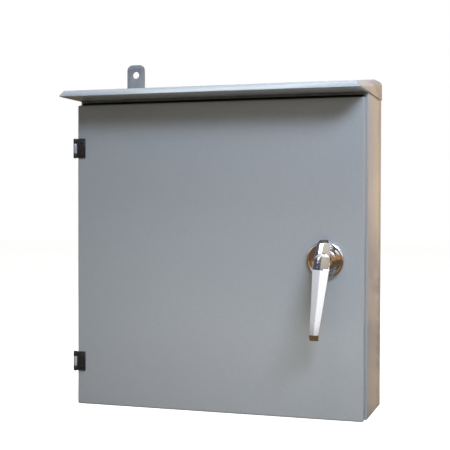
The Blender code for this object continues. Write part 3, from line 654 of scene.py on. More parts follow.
def rod(name: str, start: Sequence[float], end: Sequence[float], radius: float,
        sides: int = 32) -> bpy.types.Object:
    """A cylinder primitive between two points, its place in its mesh.

    Args:
        name: Name of the object.
        start: Centre of one end.
        end: Centre of the other end.
        radius: Radius.
        sides: Number of sides.

    Returns:
        The object.
    """
    start, end = Vector(start), Vector(end)
    bpy.ops.object.select_all(action="DESELECT")
    turn = Vector(UP).rotation_difference(end - start).to_euler()
    bpy.ops.mesh.primitive_cylinder_add(
        vertices=sides, radius=radius, depth=(end - start).length, location=(start + end) / 2, rotation=turn
    )
    obj = bpy.context.object
    obj.name = obj.data.name = name
    bpy.ops.object.transform_apply(location=True, rotation=True, scale=True)
    return obj


def turned(name: str, profile: Sequence[tuple[float, float]], foot: Sequence[float],
           axis: Sequence[float], steps: int = 48) -> bpy.types.Object:
    """A profile of (radius, height) points spun round an axis, smooth but for its sharp edges.

    Args:
        name: Name of the object.
        profile: Points from one end to the other; one that doesn't reach the axis is closed.
        foot: Where height 0 lies on the axis.
        axis: Direction of the axis.
        steps: Steps of the spin.

    Returns:
        The object.
    """
    foot, axis = Vector(foot), Vector(axis).normalized()
    across = axis.orthogonal().normalized()
    corners = [foot + axis * height + across * radius for radius, height in profile]
    edges = [(i, i + 1) for i in range(len(corners) - 1)]
    if min(radius for radius, _ in profile) > TOUCH:
        edges.append((len(corners) - 1, 0))
    mesh = bpy.data.meshes.new(name)
    mesh.from_pydata(corners, edges, [])
    obj = placed(name, mesh)
    with editing(obj, "VERT", "SELECT"):
        bpy.ops.mesh.spin(steps=steps, angle=2 * math.pi, center=foot, axis=axis)
        bpy.ops.mesh.select_all(action="SELECT")
        bpy.ops.mesh.remove_doubles(threshold=0.000002)
        bpy.ops.mesh.normals_make_consistent(inside=False)
    return shaded(obj)


def loft(name: str, rings: Sequence[Sequence[Sequence[float]]]) -> bpy.types.Object:
    """A closed skin over rings of points with the same count, capped at both ends.

    Args:
        name: Name of the object.
        rings: The rings in order.

    Returns:
        The object.
    """
    count = len(rings[0])
    corners = [Vector(p) for ring in rings for p in ring]
    faces = [tuple(range(count)), tuple(reversed(range(len(corners) - count, len(corners))))]
    for row in range(len(rings) - 1):
        for i in range(count):
            j = (i + 1) % count
            first, second = row * count, (row + 1) * count
            faces.append((first + j, first + i, second + i, second + j))
    mesh = bpy.data.meshes.new(name)
    mesh.from_pydata(corners, [], faces)
    obj = placed(name, mesh)
    with editing(obj, action="SELECT"):
        bpy.ops.mesh.normals_make_consistent(inside=False)
    return obj


def apply_all(obj: bpy.types.Object) -> None:
    """Applies every modifier of an object, in order."""
    pick(obj)
    for modifier in list(obj.modifiers):
        bpy.ops.object.modifier_apply(modifier=modifier.name)


def combine(obj: bpy.types.Object, tool: bpy.types.Object, operation: str) -> None:
    """Applies a Boolean with a tool and throws the tool away.

    Args:
        obj: The piece.
        tool: The cutter or the shape that is joined on.
        operation: DIFFERENCE or UNION.
    """
    modifier = obj.modifiers.new(operation.lower(), "BOOLEAN")
    modifier.operation = operation
    modifier.object = tool
    apply_all(obj)
    bpy.data.objects.remove(tool, do_unlink=True)


def shaded(obj: bpy.types.Object, angle: float = 40.0) -> bpy.types.Object:
    """Shades a piece smooth, but for its sharp edges.

    Args:
        obj: The piece.
        angle: Sharpest angle that is shaded smooth, in degrees.

    Returns:
        The same piece.
    """
    pick(obj)
    bpy.ops.object.shade_smooth_by_angle(angle=math.radians(angle))
    return obj


def soften(obj: bpy.types.Object, width: float, segments: int = 3,
           angle: float = 30.0) -> bpy.types.Object:
    """Rounds the sharp edges with an applied Bevel, and shades the piece smooth between them.

    Args:
        obj: The piece.
        width: Width of the rounding.
        segments: Segments of the rounding.
        angle: Sharpest angle left alone, in degrees.

    Returns:
        The same piece.
    """
    modifier = obj.modifiers.new("rounding", "BEVEL")
    modifier.width = width
    modifier.segments = segments
    modifier.limit_method = "ANGLE"
    modifier.angle_limit = math.radians(angle)
    modifier.use_clamp_overlap = True
    apply_all(obj)
    return shaded(obj)


def wire(name: str, points: Sequence[Sequence[float]], radius: float, smooth: int = 6) -> bpy.types.Object:
    """A round wire along a smooth curve through points, as a capped mesh.

    Args:
        name: Name of the object.
        points: The points it passes through.
        radius: Radius of the wire.
        smooth: Steps between two points.

    Returns:
        The object.
    """
    route = [Vector(p) for p in points]
    padded = [route[0] * 2 - route[1], *route, route[-1] * 2 - route[-2]]
    path = []
    for a, b, c, d in zip(padded, padded[1:], padded[2:], padded[3:]):
        for i in range(smooth):
            t = i / smooth
            bend = (a * -1 + b * 3 - c * 3 + d) * t**3
            path.append(0.5 * (2 * b + (c - a) * t + (2 * a - 5 * b + 4 * c - d) * t**2 + bend))
    path.append(route[-1])
    curve = bpy.data.curves.new(name, "CURVE")
    curve.dimensions = "3D"
    curve.bevel_depth = radius
    curve.bevel_resolution = 4
    curve.use_fill_caps = True
    spline = curve.splines.new("POLY")
    spline.points.add(len(path) - 1)
    for target, place in zip(spline.points, path):
        target.co = (*place, 1.0)
    pick(placed(name, curve))
    bpy.ops.object.convert(target="MESH")
    obj = bpy.context.object
    with editing(obj, "VERT", "SELECT"):
        bpy.ops.mesh.remove_doubles(threshold=0.000005)
        bpy.ops.mesh.normals_make_consistent(inside=False)
    return shaded(obj, 50.0)


# --- sub-assemblies -------------------------------------------------------------------------------


class PackedFrame:
    """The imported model, and the pieces made so far."""

    def __init__(self) -> None:
        """Starts empty."""
        self.nodes: dict[str, bpy.types.Object] = {}
        self.pieces: list[str] = []

    def begin(self) -> None:
        """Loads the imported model."""
        self.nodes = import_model()["nodes"]

    def box(self, node: str) -> tuple[Vector, Vector]:
        """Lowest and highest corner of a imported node."""
        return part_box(node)

    def middle(self, node: str) -> Point:
        """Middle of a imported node's box."""
        low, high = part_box(node)
        return tuple((a + b) / 2 for a, b in zip(low, high))

    def add(self, obj: bpy.types.Object, body: Body, finish: Finish, *nodes: str) -> None:
        """Dresses a piece, lets it ride on its body and hides what it stands for.

        Args:
            obj: The piece.
            body: The body it moves with.
            finish: Its finish.
            *nodes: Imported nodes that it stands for.
        """
        obj.data.materials.clear()
        obj.data.materials.append(finish.material())
        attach(obj, body.value)
        if nodes:
            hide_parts(*nodes)
        self.pieces.append(obj.name)

    def rework(self, node: str, name: str, width: float, body: Body, finish: Finish,
               segments: int = 2) -> None:
        """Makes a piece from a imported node: merged, its flat faces whole again and its edges rounded.

        Args:
            node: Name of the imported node.
            name: Name of the new piece.
            width: Width of the rounding.
            body: The body it moves with.
            finish: Its finish.
            segments: Segments of the rounding.
        """
        mesh = self.nodes[node].data.copy()
        mesh.name = name
        piece = placed(name, mesh)
        with editing(piece, "VERT", "SELECT"):
            bpy.ops.mesh.remove_doubles(threshold=0.000005)
            bpy.ops.mesh.dissolve_limited(angle_limit=math.radians(1.0))
        mesh.polygons.foreach_set("use_smooth", [False] * len(mesh.polygons))
        self.add(soften(piece, width, segments, 38.0), body, finish, node)

    def dress(self, node: str, finish: Finish) -> None:
        """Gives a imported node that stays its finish.

        Args:
            node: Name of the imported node.
            finish: The finish.
        """
        data = self.nodes[node].data
        data.materials.clear()
        data.materials.append(finish.material())


FRAME = PackedFrame()


@dataclass
class Fastener:
    """One screw head or nut, modelled once pointing along -Y and stamped where it is needed."""

    name: str
    style: HeadStyle
    radius: float
    height: float
    finish: Finish
    template: bpy.types.Object | None = None

    def _nut(self) -> bpy.types.Object:
        """A hexagon nut on its washer, with the stud's end standing out.

        Returns:
            The nut at the origin.
        """
        r, h = self.radius, self.height
        nut = soften(rod(self.name, ORIGIN, (0, -h, 0), r, 6), r * 0.12, 2)
        combine(nut, rod("washer", ORIGIN, (0, -h * 0.22, 0), r * 1.22, 28), "UNION")
        stud = [(0, 0), (r * 0.55, 0), (r * 0.55, h * 1.35), (r * 0.45, h * 1.5), (0, h * 1.5)]
        combine(nut, turned("stud_end", stud, ORIGIN, FORWARD, 20), "UNION")
        return shaded(nut)

    def _head(self) -> bpy.types.Object:
        """A domed screw head with its slot or cross.

        Returns:
            The head at the origin.
        """
        r, h = self.radius, self.height
        dome = [(0, 0), (r, 0), (r, h * 0.35), (r * 0.9, h * 0.72), (r * 0.62, h * 0.95), (0, h)]
        head = turned(self.name, dome, ORIGIN, FORWARD, 24)
        reach, half, bottom, above = r * 0.66, r * 0.12, -h * 0.5, -h * 1.2
        combine(head, block("drive_slot", (-reach, above, -half), (reach, bottom, half)), "DIFFERENCE")
        if self.style is HeadStyle.CROSS:
            combine(head, block("drive_cross", (-half, above, -reach), (half, bottom, reach)), "DIFFERENCE")
        return shaded(head)

    def stamp(self, name: str, place: Sequence[float], axis: Sequence[float], body: Body,
              turn: float = 0.0) -> None:
        """Copies the head to a place, with its own mesh.

        Args:
            name: Name of the piece.
            place: Where it sits on the surface.
            axis: Way it points out.
            body: The body it moves with.
            turn: How far its recess is turned, in degrees.
        """
        if self.template is None:
            self.template = self._nut() if self.style is HeadStyle.HEX_NUT else self._head()
            self.template.hide_render = True
        mesh = self.template.data.copy()
        mesh.name = name
        swing = Vector(FORWARD).rotation_difference(Vector(axis)).to_matrix().to_4x4()
        spin = Matrix.Rotation(math.radians(turn), 4, "Y")
        mesh.transform(Matrix.Translation(place) @ swing @ spin)
        FRAME.add(placed(name, mesh), body, self.finish)

    def stamp_row(self, name: str, places: Sequence[Sequence[float]], axis: Sequence[float], body: Body,
                  step: float) -> None:
        """Copies the head to several places, each turned by a step more than the last."""
        for i, place in enumerate(places):
            self.stamp(f"{name}_{i + 1}", place, axis, body, step * i)

    def discard(self) -> None:
        """Removes the template."""
        if self.template is not None:
            bpy.data.objects.remove(self.template, do_unlink=True)
            self.template = None


PANEL_SCREW = Fastener("panel_screw", HeadStyle.CROSS, 0.0036, 0.0022, ZINC)
SMALL_SCREW = Fastener("small_screw", HeadStyle.CROSS, 0.0021, 0.0013, ZINC)
CLAMP_SCREW = Fastener("clamp_screw", HeadStyle.SLOT, 0.0042, 0.0026, ZINC)
BAR_SCREW = Fastener("bar_screw", HeadStyle.SLOT, 0.0034, 0.0028, BRASS)
HINGE_SCREW = Fastener("hinge_screw", HeadStyle.CROSS, 0.0021, 0.0008, HINGE_BLACK)
STUD_NUT = Fastener("stud_nut", HeadStyle.HEX_NUT, 0.0058, 0.0042, ZINC)
FASTENERS = (PANEL_SCREW, SMALL_SCREW, CLAMP_SCREW, BAR_SCREW, HINGE_SCREW, STUD_NUT)


@dataclass
class EnclosureBody:
    """Folded steel body: walls, inward front flange, rain rim, anchor holes and the gland plate."""

    sheet: float = 0.0015
    top: float = 0.268
    front: float = -0.128
    rim_front: float = -0.139
    opening_half: float = 0.222
    opening_bottom: float = -0.228
    opening_top: float = 0.235
    fold: float = 0.0016
    least_fold: float = 0.05
    upstand_half: float = 0.237
    gland_low: tuple[float, float] = (-0.150, -0.098)
    gland_high: Point = (0.150, -0.038, -0.245)
    gland_screw_edge: float = 0.006
    gland_screw_spread: float = 0.955
    anchors: Profile = ((-0.228, -0.230), (0.228, -0.230), (-0.228, 0.225), (0.228, 0.225))
    anchor_radius: float = 0.0045
    earth_stud: Point = (-0.2424, -0.060, -0.215)

    def shell(self) -> bpy.types.Object:
        """The body, folded and hollowed from one block.

        Returns:
            The finished shell.
        """
        low, high = FRAME.box("enclosure_shell")
        s, half, flange = self.sheet, high.x, self.front + self.sheet
        x, z0, z1 = self.opening_half, self.opening_bottom, self.opening_top
        body = block("enclosure_body", (-half, self.front, low.z), (half, high.y, self.top))
        with editing(body):
            choose_faces(body, lambda f: f.normal.y < -FACING)
            set_in(body, (-x - s, self.front, z0 - s), (x + s, self.front, z1 + s))
            pull(body, (-x - s, self.rim_front, z0 - s), (x + s, self.rim_front, z1 + s))
            set_in(body, (-x, self.rim_front, z0), (x, self.rim_front, z1))
            pull(body, (-x, flange, z0), (x, flange, z1))
            for y in (flange, -s):
                pull(body, (-half + s, y, low.z + s), (half - s, y, self.top - s))
        with editing(body, "EDGE"):
            choose_edges(body, lambda e: self._is_fold(e, half, low.z))
            bpy.ops.mesh.bevel(offset=self.fold, segments=4)
        upstand = block("upstand", (-self.upstand_half, -s, self.top - s), (self.upstand_half, 0, high.z))
        combine(body, upstand, "UNION")
        combine(body, block("gland_cut", (*self.gland_low, low.z - CLEAR), self.gland_high), "DIFFERENCE")
        for x, z in self.anchors:
            cutter = rod("anchor_cut", (x, -CLEAR, z), (x, CLEAR, z), self.anchor_radius, 24)
            combine(body, cutter, "DIFFERENCE")
        return soften(body, Edge.FINE, 1)

    def _is_fold(self, edge: bmesh.types.BMEdge, half: float, bottom: float) -> bool:
        """Tells an outside edge of the body that the sheet is folded round.

        Args:
            edge: The edge.
            half: Half the width of the body.
            bottom: Height of its underside.

        Returns:
            True for such an edge.
        """
        first, second = (v.co for v in edge.verts)
        on_side = all(near(abs(p.x), half) for p in (first, second))
        level = all(near(p.z, bottom) or near(p.z, self.top) for p in (first, second))
        run = [abs(a - b) > self.least_fold for a, b in zip(first, second)]
        return (on_side and (run[1] or run[2])) or (level and run[0])

    def gland_area(self) -> None:
        """The plate inside the bottom, its screws and its rubber plugs."""
        FRAME.rework("gland_plate", "bottom_gland_plate", Edge.SLIGHT, Body.ENCLOSURE, POWDER_COAT)
        low, high = FRAME.box("gland_plate")
        rows = (low.y + self.gland_screw_edge, high.y - self.gland_screw_edge)
        places = [(x * self.gland_screw_spread, y, high.z) for y in rows for x in (low.x, 0, high.x)]
        PANEL_SCREW.stamp_row("gland_screw", places, UP, Body.ENCLOSURE, 20)
        for i in (1, 2, 3):
            FRAME.rework(f"blanking_plug_{i}", f"rubber_plug_{i}", Edge.EASED, Body.ENCLOSURE,
                         RUBBER_AND_PAINTED_SHADE, 3)

    def build(self) -> None:
        """Makes all of it, with the earth nut on the inside of the left wall."""
        FRAME.add(self.shell(), Body.ENCLOSURE, POWDER_COAT, "enclosure_shell")
        self.gland_area()
        STUD_NUT.stamp("body_earth_nut", self.earth_stud, (1, 0, 0), Body.ENCLOSURE, 12)


@dataclass
class RainHood:
    """Wedge hood: a block planed by four cuts, opened behind and over the body, and given its wall."""

    wall: float = 0.0015
    band: float = 0.0092
    inset: float = 0.0065
    ridge_y: float = -0.037
    body_front: float = -0.1283
    body_rear_sheet: float = 0.0015
    bead_half: float = 0.2365
    bead_low: float = 0.2815
    bead_high: float = 0.2858
    bead_lap: float = 0.0004
    bead_slope: float = 0.0008
    fold_angle: float = 0.15
    fold_width: float = 0.0016

    def build(self) -> None:
        """Makes the hood."""
        low, high = FRAME.box("rain_hood")
        hood = block("folded_rain_hood", low, high)
        slope = (high.z - self.band - low.z) / (self.ridge_y - low.y)
        shoulder = self.band + self.inset * slope
        with editing(hood):
            self._plane((0, self.ridge_y, high.z), (0, -slope, 1))
            self._plane((0, low.y, low.z), (0, -shoulder, self.inset))
            for side in (-1, 1):
                way = (side * self.band, -slope * self.inset, self.inset)
                self._plane((side * high.x, low.y, low.z), way)
            bpy.ops.mesh.select_all(action="SELECT")
            bpy.ops.mesh.bisect(plane_co=(0, self.body_front, 0), plane_no=BACKWARD)
            choose_faces(hood, self._is_open)
            bpy.ops.mesh.delete(type="FACE")
            bpy.ops.mesh.select_mode(type="EDGE")
            choose_edges(hood, lambda e: len(e.link_faces) == 2 and e.calc_face_angle() > self.fold_angle)
            bpy.ops.mesh.bevel(offset=self.fold_width, segments=4)
        thickness = hood.modifiers.new("wall", "SOLIDIFY")
        thickness.thickness = self.wall
        thickness.offset = -1
        thickness.use_even_offset = True
        apply_all(hood)
        FRAME.add(soften(hood, Edge.SLIGHT, 2, 60.0), Body.ENCLOSURE, POWDER_COAT, "rain_hood")
        self.bead()

    def bead(self) -> None:
        """Sealant laid between the roof's rear edge and the body behind it."""
        half, rear = self.bead_half, FRAME.box("rain_hood")[1].y
        wall = FRAME.box("enclosure_shell")[1].y - self.body_rear_sheet
        front, crest = rear - self.bead_lap, self.bead_high - self.bead_slope
        bead = block("roof_bead", (-half, front, self.bead_low), (half, wall, self.bead_high))
        with editing(bead):
            choose_faces(bead, lambda f: f.normal.z > FACING)
            set_in(bead, (-half, rear, crest), (half, wall, crest))
        FRAME.add(soften(bead, Edge.ROUNDER, 3), Body.ENCLOSURE, BEAD_SEALANT)

    def _plane(self, place: Point, normal: Point) -> None:
        """Planes off what lies outside a plane, and fills the cut, in edit mode.

        Args:
            place: A point of the plane.
            normal: Way out of it, of any length.
        """
        bpy.ops.mesh.select_all(action="SELECT")
        way = Vector(normal).normalized()
        bpy.ops.mesh.bisect(plane_co=place, plane_no=way, use_fill=True, clear_outer=True)

    def _is_open(self, face: bmesh.types.BMFace) -> bool:
        """True for the rear of the hood, and for its underside behind the body's front."""
        centre = face.calc_center_median()
        return face.normal.y > FACING or (face.normal.z < -FACING and centre.y > self.body_front)


@dataclass
class HangingLug:
    """Steel strap that stands above the hood, with a round hole."""

    corner: float = 0.010
    thickness: float = 0.003
    foot_lap: float = 0.001
    hole_radius: float = 0.00625
    hole_height: float = 0.3165
    screw_out: float = 0.009
    screw_edge: float = 0.010

    def build(self) -> None:
        """Makes the lug, its foot and the foot's screws."""
        low, high = FRAME.box("mounting_lug")
        x, front = FRAME.middle("mounting_lug")[0], high.y - self.thickness
        foot_top = low.z + self.thickness
        lug = block("hanging_lug", (low.x, front, low.z), (high.x, high.y, high.z))
        with editing(lug, "EDGE"):
            choose_edges(lug, lambda e: all(near(v.co.z, high.z) for v in e.verts)
                         and near(e.verts[0].co.x, e.verts[1].co.x))
            bpy.ops.mesh.bevel(offset=self.corner, segments=10)
        combine(lug, block("lug_foot", low, (high.x, front + self.foot_lap, foot_top)), "UNION")
        hole = rod("lug_hole", (x, low.y - CLEAR, self.hole_height), (x, CLEAR, self.hole_height),
                   self.hole_radius, 40)
        combine(lug, hole, "DIFFERENCE")
        # The lug's paint is the darker copy of the grey: painted shade on the lug.
        FRAME.add(soften(lug, Edge.SLIGHT, 2), Body.ENCLOSURE, SHADED_LUG_COAT, "mounting_lug")
        places = [(x + side * self.screw_out, low.y + self.screw_edge, foot_top) for side in (-1, 1)]
        PANEL_SCREW.stamp_row("lug_screw", places, UP, Body.ENCLOSURE, 30)


@dataclass
class SealsAndHeaderShade:
    """The black strip over the door, partly a rubber seal and partly painted shade for the gap under the
    hood, with its steel retainer, and the gasket ring inside the door.
    """

    retainer: float = 0.0030
    gap: float = 0.0001
    end_slope: float = 0.001
    front_slope: float = 0.0012

    def build(self) -> None:
        """Makes the black header strip, partly painted shade, its retainer and the door gasket."""
        low, high = FRAME.box("header_seal")
        split = high.z - self.retainer
        # A black rubber strip in the gap under the hood, where it lies in deep shade: painted shade.
        strip = block("header_shade_strip", low, (high.x, high.y, split))
        FRAME.add(soften(strip, Edge.PLUMP, 4), Body.ENCLOSURE, RUBBER_AND_PAINTED_SHADE, "header_seal")
        split += self.gap
        rail = block("header_retainer", (low.x, low.y, split), high)
        with editing(rail):
            choose_faces(rail, lambda f: f.normal.z < -FACING)
            set_in(rail, (low.x + self.end_slope, low.y + self.front_slope, split),
                   (high.x - self.end_slope, high.y, split))
        FRAME.add(soften(rail, Edge.EASED, 3), Body.ENCLOSURE, POWDER_COAT, "header_seal")
        FRAME.rework("door_gasket", "foam_gasket", Edge.CUSHIONED, Body.DOOR, RUBBER_AND_PAINTED_SHADE, 4)


@dataclass
class DoorPan:
    """Pressed door: rounded front edges, return flanges, spindle hole, pocket and earth stud."""

    sheet: float = 0.0015
    flange: float = 0.0060
    rounding: float = 0.0028
    hole: tuple[float, float] = (0.1815, -0.002)
    hole_radius: float = 0.0085
    least_corner: float = 0.005
    earth_stud: tuple[float, float] = (-0.195, -0.205)

    def pan(self) -> bpy.types.Object:
        """The door skin with its folded edges.

        Returns:
            The finished pan.
        """
        low, high = FRAME.box("door_panel")
        s, f = self.sheet, self.flange
        door = block("door_skin", low, high)
        with editing(door):
            choose_faces(door, lambda face: face.normal.y > FACING)
            set_in(door, (low.x + f, high.y, low.z + f), (high.x - f, high.y, high.z - f))
            for margin, y in ((f, high.y - s), (s, high.y - s), (s, low.y + s)):
                pull(door, (low.x + margin, y, low.z + margin), (high.x - margin, y, high.z - margin))
        with editing(door, "EDGE"):
            choose_edges(door, lambda e: self._is_front(e, low, high))
            bpy.ops.mesh.bevel(offset=self.rounding, segments=6)
        x, z = self.hole
        cutter = rod("spindle_cut", (x, low.y - CLEAR, z), (x, high.y, z), self.hole_radius, 40)
        combine(door, cutter, "DIFFERENCE")
        return soften(door, Edge.CRISP, 1)

    def _is_front(self, edge: bmesh.types.BMEdge, low: Vector, high: Vector) -> bool:
        """Tells the four outside edges of the front, and the four short ones at its corners.

        Args:
            edge: The edge.
            low: Lowest corner of the door.
            high: Highest corner of the door.

        Returns:
            True for such an edge.
        """
        ends = [v.co for v in edge.verts]
        at_side = all(near(p.x, low.x) or near(p.x, high.x) for p in ends)
        at_level = all(near(p.z, low.z) or near(p.z, high.z) for p in ends)
        front = all(near(p.y, low.y) for p in ends)
        corner = at_side and at_level and abs(ends[0].y - ends[1].y) > self.least_corner
        return corner or (front and (at_side or at_level))

    def build(self) -> None:
        """Makes the door and what is fixed inside it."""
        FRAME.add(self.pan(), Body.DOOR, POWDER_COAT, "door_panel")
        FRAME.rework("document_pocket", "drawing_pocket", Edge.SOFT, Body.DOOR, POCKET_PLASTIC)
        x, z = self.earth_stud
        inside = FRAME.box("door_panel")[0].y + self.sheet
        STUD_NUT.stamp("door_earth_nut", (x, inside, z), BACKWARD, Body.DOOR, 25)


@dataclass
class DoorHinge:
    """A black leaf on the door, a grey knuckle and strap on the body, and the pin through them."""

    side: str
    leaf: float = 0.0030
    screw_end: float = 0.0065
    screw_edge: float = 0.0062

    def build(self) -> None:
        """Makes both leaves, the pin and the screws."""
        side, node = self.side, f"hinge_door_leaf_{self.side}"
        FRAME.rework(node, f"black_hinge_leaf_{side}", Edge.SLIGHT, Body.DOOR, HINGE_BLACK)
        FRAME.rework(f"hinge_frame_leaf_{side}", f"grey_hinge_strap_{side}", Edge.SLIGHT, Body.ENCLOSURE,
                     POWDER_COAT)
        FRAME.rework(f"hinge_pin_{side}", f"hinge_rod_{side}", Edge.FINE, Body.ENCLOSURE, ZINC)
        low, high = FRAME.box(node)
        x, y = high.x - self.screw_edge, FRAME.box("door_panel")[0].y - self.leaf
        places = [(x, y, z) for z in (low.z + self.screw_end, high.z - self.screw_end)]
        HINGE_SCREW.stamp_row(f"hinge_screw_{side}", places, FORWARD, Body.DOOR, 35)


@dataclass
class LeverHandle:
    """Chrome rosette, turned boss and faceted lever, with the spindle and nut behind them."""

    centre: Point = (0.1815, -0.147, -0.002)
    sections: tuple[tuple[float, ...], ...] = (
        # drop, stand-off, sideways shift, width, thickness, ridge
        (0.0330, 0.0105, 0.0, 0.013, 0.0030, 0.0010),
        (0.0265, 0.0165, 0.0, 0.022, 0.0085, 0.0030),
        (-0.0125, 0.0385, 0.0, 0.0265, 0.0200, 0.0030),
        (-0.0600, 0.0520, -0.0015, 0.0205, 0.0120, 0.0022),
        (-0.1095, 0.0660, -0.0040, 0.0155, 0.0110, 0.0018),
        (-0.1180, 0.0610, -0.0042, 0.0140, 0.0050, 0.0010),
    )
    back_share: float = 0.86
    back_ridge: float = 0.4
    rosette_lift: float = 0.0003
    rosette: Profile = (
        (0.0092, 0.0), (0.0092, 0.0030), (0.0120, 0.0034), (0.0195, 0.0032), (0.0215, 0.0036),
        (0.0238, 0.0047), (0.0256, 0.0055), (0.0272, 0.0057), (0.0286, 0.0051), (0.0295, 0.0038),
        (0.0300, 0.0018), (0.0300, 0.0),
    )
    boss: Profile = (
        (0.0, 0.0042), (0.0162, 0.0042), (0.0165, 0.0048), (0.0160, 0.0075), (0.0148, 0.0110),
        (0.0138, 0.0150), (0.0128, 0.0215), (0.0120, 0.0265), (0.0112, 0.0270), (0.0, 0.0270),
    )

    def ring(self, section: Sequence[float]) -> list[Point]:
        """The six corners of one cross-section of the lever.

        Args:
            section: Drop, stand-off, shift, width, thickness and ridge.

        Returns:
            The corners: front ridge, right edge, back right, back, back left, left edge.
        """
        drop, stand_off, shift, width, thick, ridge = section
        x, z = self.centre[0] + shift, self.centre[2] + drop
        front, half = self.centre[1] - stand_off, width / 2
        back, narrow = front + thick, half * self.back_share
        return [(x, front, z), (x + half, front + ridge, z), (x + narrow, back, z),
                (x, back + ridge * self.back_ridge, z), (x - narrow, back, z), (x - half, front + ridge, z)]

    def build(self) -> None:
        """Makes the handle."""
        x, y, z = self.centre
        plate = turned("chrome_rosette", self.rosette, (x, y - self.rosette_lift, z), FORWARD, 96)
        FRAME.add(plate, Body.DOOR, CHROME, "handle_rosette")
        lever = loft("chrome_lever", [self.ring(section) for section in self.sections])
        FRAME.add(soften(lever, Edge.ROUNDER, 4, 9.0), Body.HANDLE, CHROME, "handle_lever")
        FRAME.add(turned("chrome_boss", self.boss, self.centre, FORWARD, 72), Body.HANDLE, CHROME)
        FRAME.rework("handle_spindle", "square_spindle", Edge.SLIGHT, Body.HANDLE, ZINC)
        FRAME.rework("spindle_nut", "spindle_lock_nut", Edge.SOFT, Body.DOOR, ZINC)


@dataclass
class LatchWorks:
    """Cam, rods and guides behind the door."""

    cam_edge: Edge = Edge.FINE
    rod_edge: Edge = Edge.SLIGHT

    def build(self) -> None:
        """Makes the latch."""
        FRAME.rework("latch_cam", "two_pin_cam", self.cam_edge, Body.HANDLE, ZINC)
        for side, body in (("upper", Body.UPPER_ROD), ("lower", Body.LOWER_ROD)):
            FRAME.rework(f"latch_rod_{side}", f"flat_latch_rod_{side}", self.rod_edge, body, ZINC)
            FRAME.rework(f"rod_guide_{side}", f"stamped_rod_guide_{side}", self.rod_edge, Body.DOOR, ZINC)


@dataclass
class BackPanel:
    """Galvanised mounting panel on its four studs, and the transfer mechanism's base plate."""

    sheet_edge: Edge = Edge.SLIGHT
    nut_lap: float = 0.0001
    screw_in: tuple[float, float] = (0.004, 0.008)

    def build(self) -> None:
        """Makes the panel, its nuts and the base plate, and dresses the studs."""
        FRAME.rework("back_panel", "mounting_panel", self.sheet_edge, Body.ENCLOSURE, PANEL_ZINC)
        face = FRAME.box("back_panel")[0].y - self.nut_lap
        for i in range(1, 5):
            node = f"panel_standoff_{i}"
            FRAME.dress(node, ZINC)
            x, _, z = FRAME.middle(node)
            STUD_NUT.stamp(f"panel_nut_{i}", (x, face, z), FORWARD, Body.ENCLOSURE, 11 * i)
        FRAME.rework("transfer_base_plate", "switch_base_plate", self.sheet_edge, Body.ENCLOSURE, ZINC)
        low, high = FRAME.box("transfer_base_plate")
        dx, dz = self.screw_in
        for i, x in enumerate((low.x + dx, high.x - dx)):
            for j, z in enumerate((low.z + dz, high.z - dz)):
                name = f"base_screw_{2 * i + j + 1}"
                SMALL_SCREW.stamp(name, (x, low.y, z), FORWARD, Body.ENCLOSURE, 25 * (i + j))


@dataclass
class SourceBreaker:
    """One source's moulded-case breaker: case, cover plate, screws, clamps and toggle."""

    source: str
    toggle_body: Body
    cover_drop: float = 0.006
    cover_screws: Profile = ((-0.038, -0.033), (0.038, -0.033), (-0.038, 0.033), (0.038, 0.033))
    clamp_out: float = 0.0485
    pole: float = 0.018
    clamp_reach: tuple[float, float] = (-0.0015, 0.0075)
    clamp_depth: tuple[float, float] = (-0.0372, -0.0362)
    clamp_half: float = 0.0095
    rib_half: tuple[float, float] = (0.032, 0.0012)
    rib_rise: float = 0.0009
    rib_lap: float = 0.0004
    rib_offset: float = 0.02652

    def build(self) -> None:
        """Makes the breaker."""
        node, toggle = f"{self.source}_breaker_case", f"{self.source}_breaker_toggle"
        FRAME.rework(node, f"{self.source}_moulded_case", Edge.SOFTER, Body.ENCLOSURE, MOULDED_BLACK)
        x, _, z = FRAME.middle(node)
        face = FRAME.box(node)[0].y + self.cover_drop
        places = [(x + dx, face, z + dz) for dx, dz in self.cover_screws]
        SMALL_SCREW.stamp_row(f"{self.source}_cover_screw", places, FORWARD, Body.ENCLOSURE, 30)
        for end in (-1, 1):
            for pole in (-1, 1):
                self._clamp(x + end * self.clamp_out, z + pole * self.pole, end, pole)
        half_x, half_z = self.rib_half
        front, back = face - self.rib_rise, face + self.rib_lap
        for i, mid in enumerate((z - self.rib_offset, z + self.rib_offset)):
            rib = block(f"{self.source}_cover_rib_{i + 1}", (x - half_x, front, mid - half_z),
                        (x + half_x, back, mid + half_z))
            FRAME.add(soften(rib, Edge.SLIGHT, 2), Body.ENCLOSURE, MOULDED_BLACK)
        FRAME.rework(toggle, f"{self.source}_toggle", Edge.ROUNDER, self.toggle_body, LIGHT_PLASTIC, 3)

    def _clamp(self, x: float, z: float, end: int, pole: int) -> None:
        """The wire clamp in a terminal pocket.

        Args:
            x: Middle of the pocket across.
            z: Middle of the pocket in height.
            end: -1 for the left end of the case, 1 for the right.
            pole: -1 for the lower pole, 1 for the upper.
        """
        name = f"{self.source}_clamp_{'lr'[end > 0]}{'ab'[pole > 0]}"
        left, right = sorted(x + end * reach for reach in self.clamp_reach)
        front, back = self.clamp_depth
        collar = block(name, (left, front, z - self.clamp_half), (right, back, z + self.clamp_half))
        FRAME.add(soften(collar, Edge.FINE, 2), Body.ENCLOSURE, ZINC)


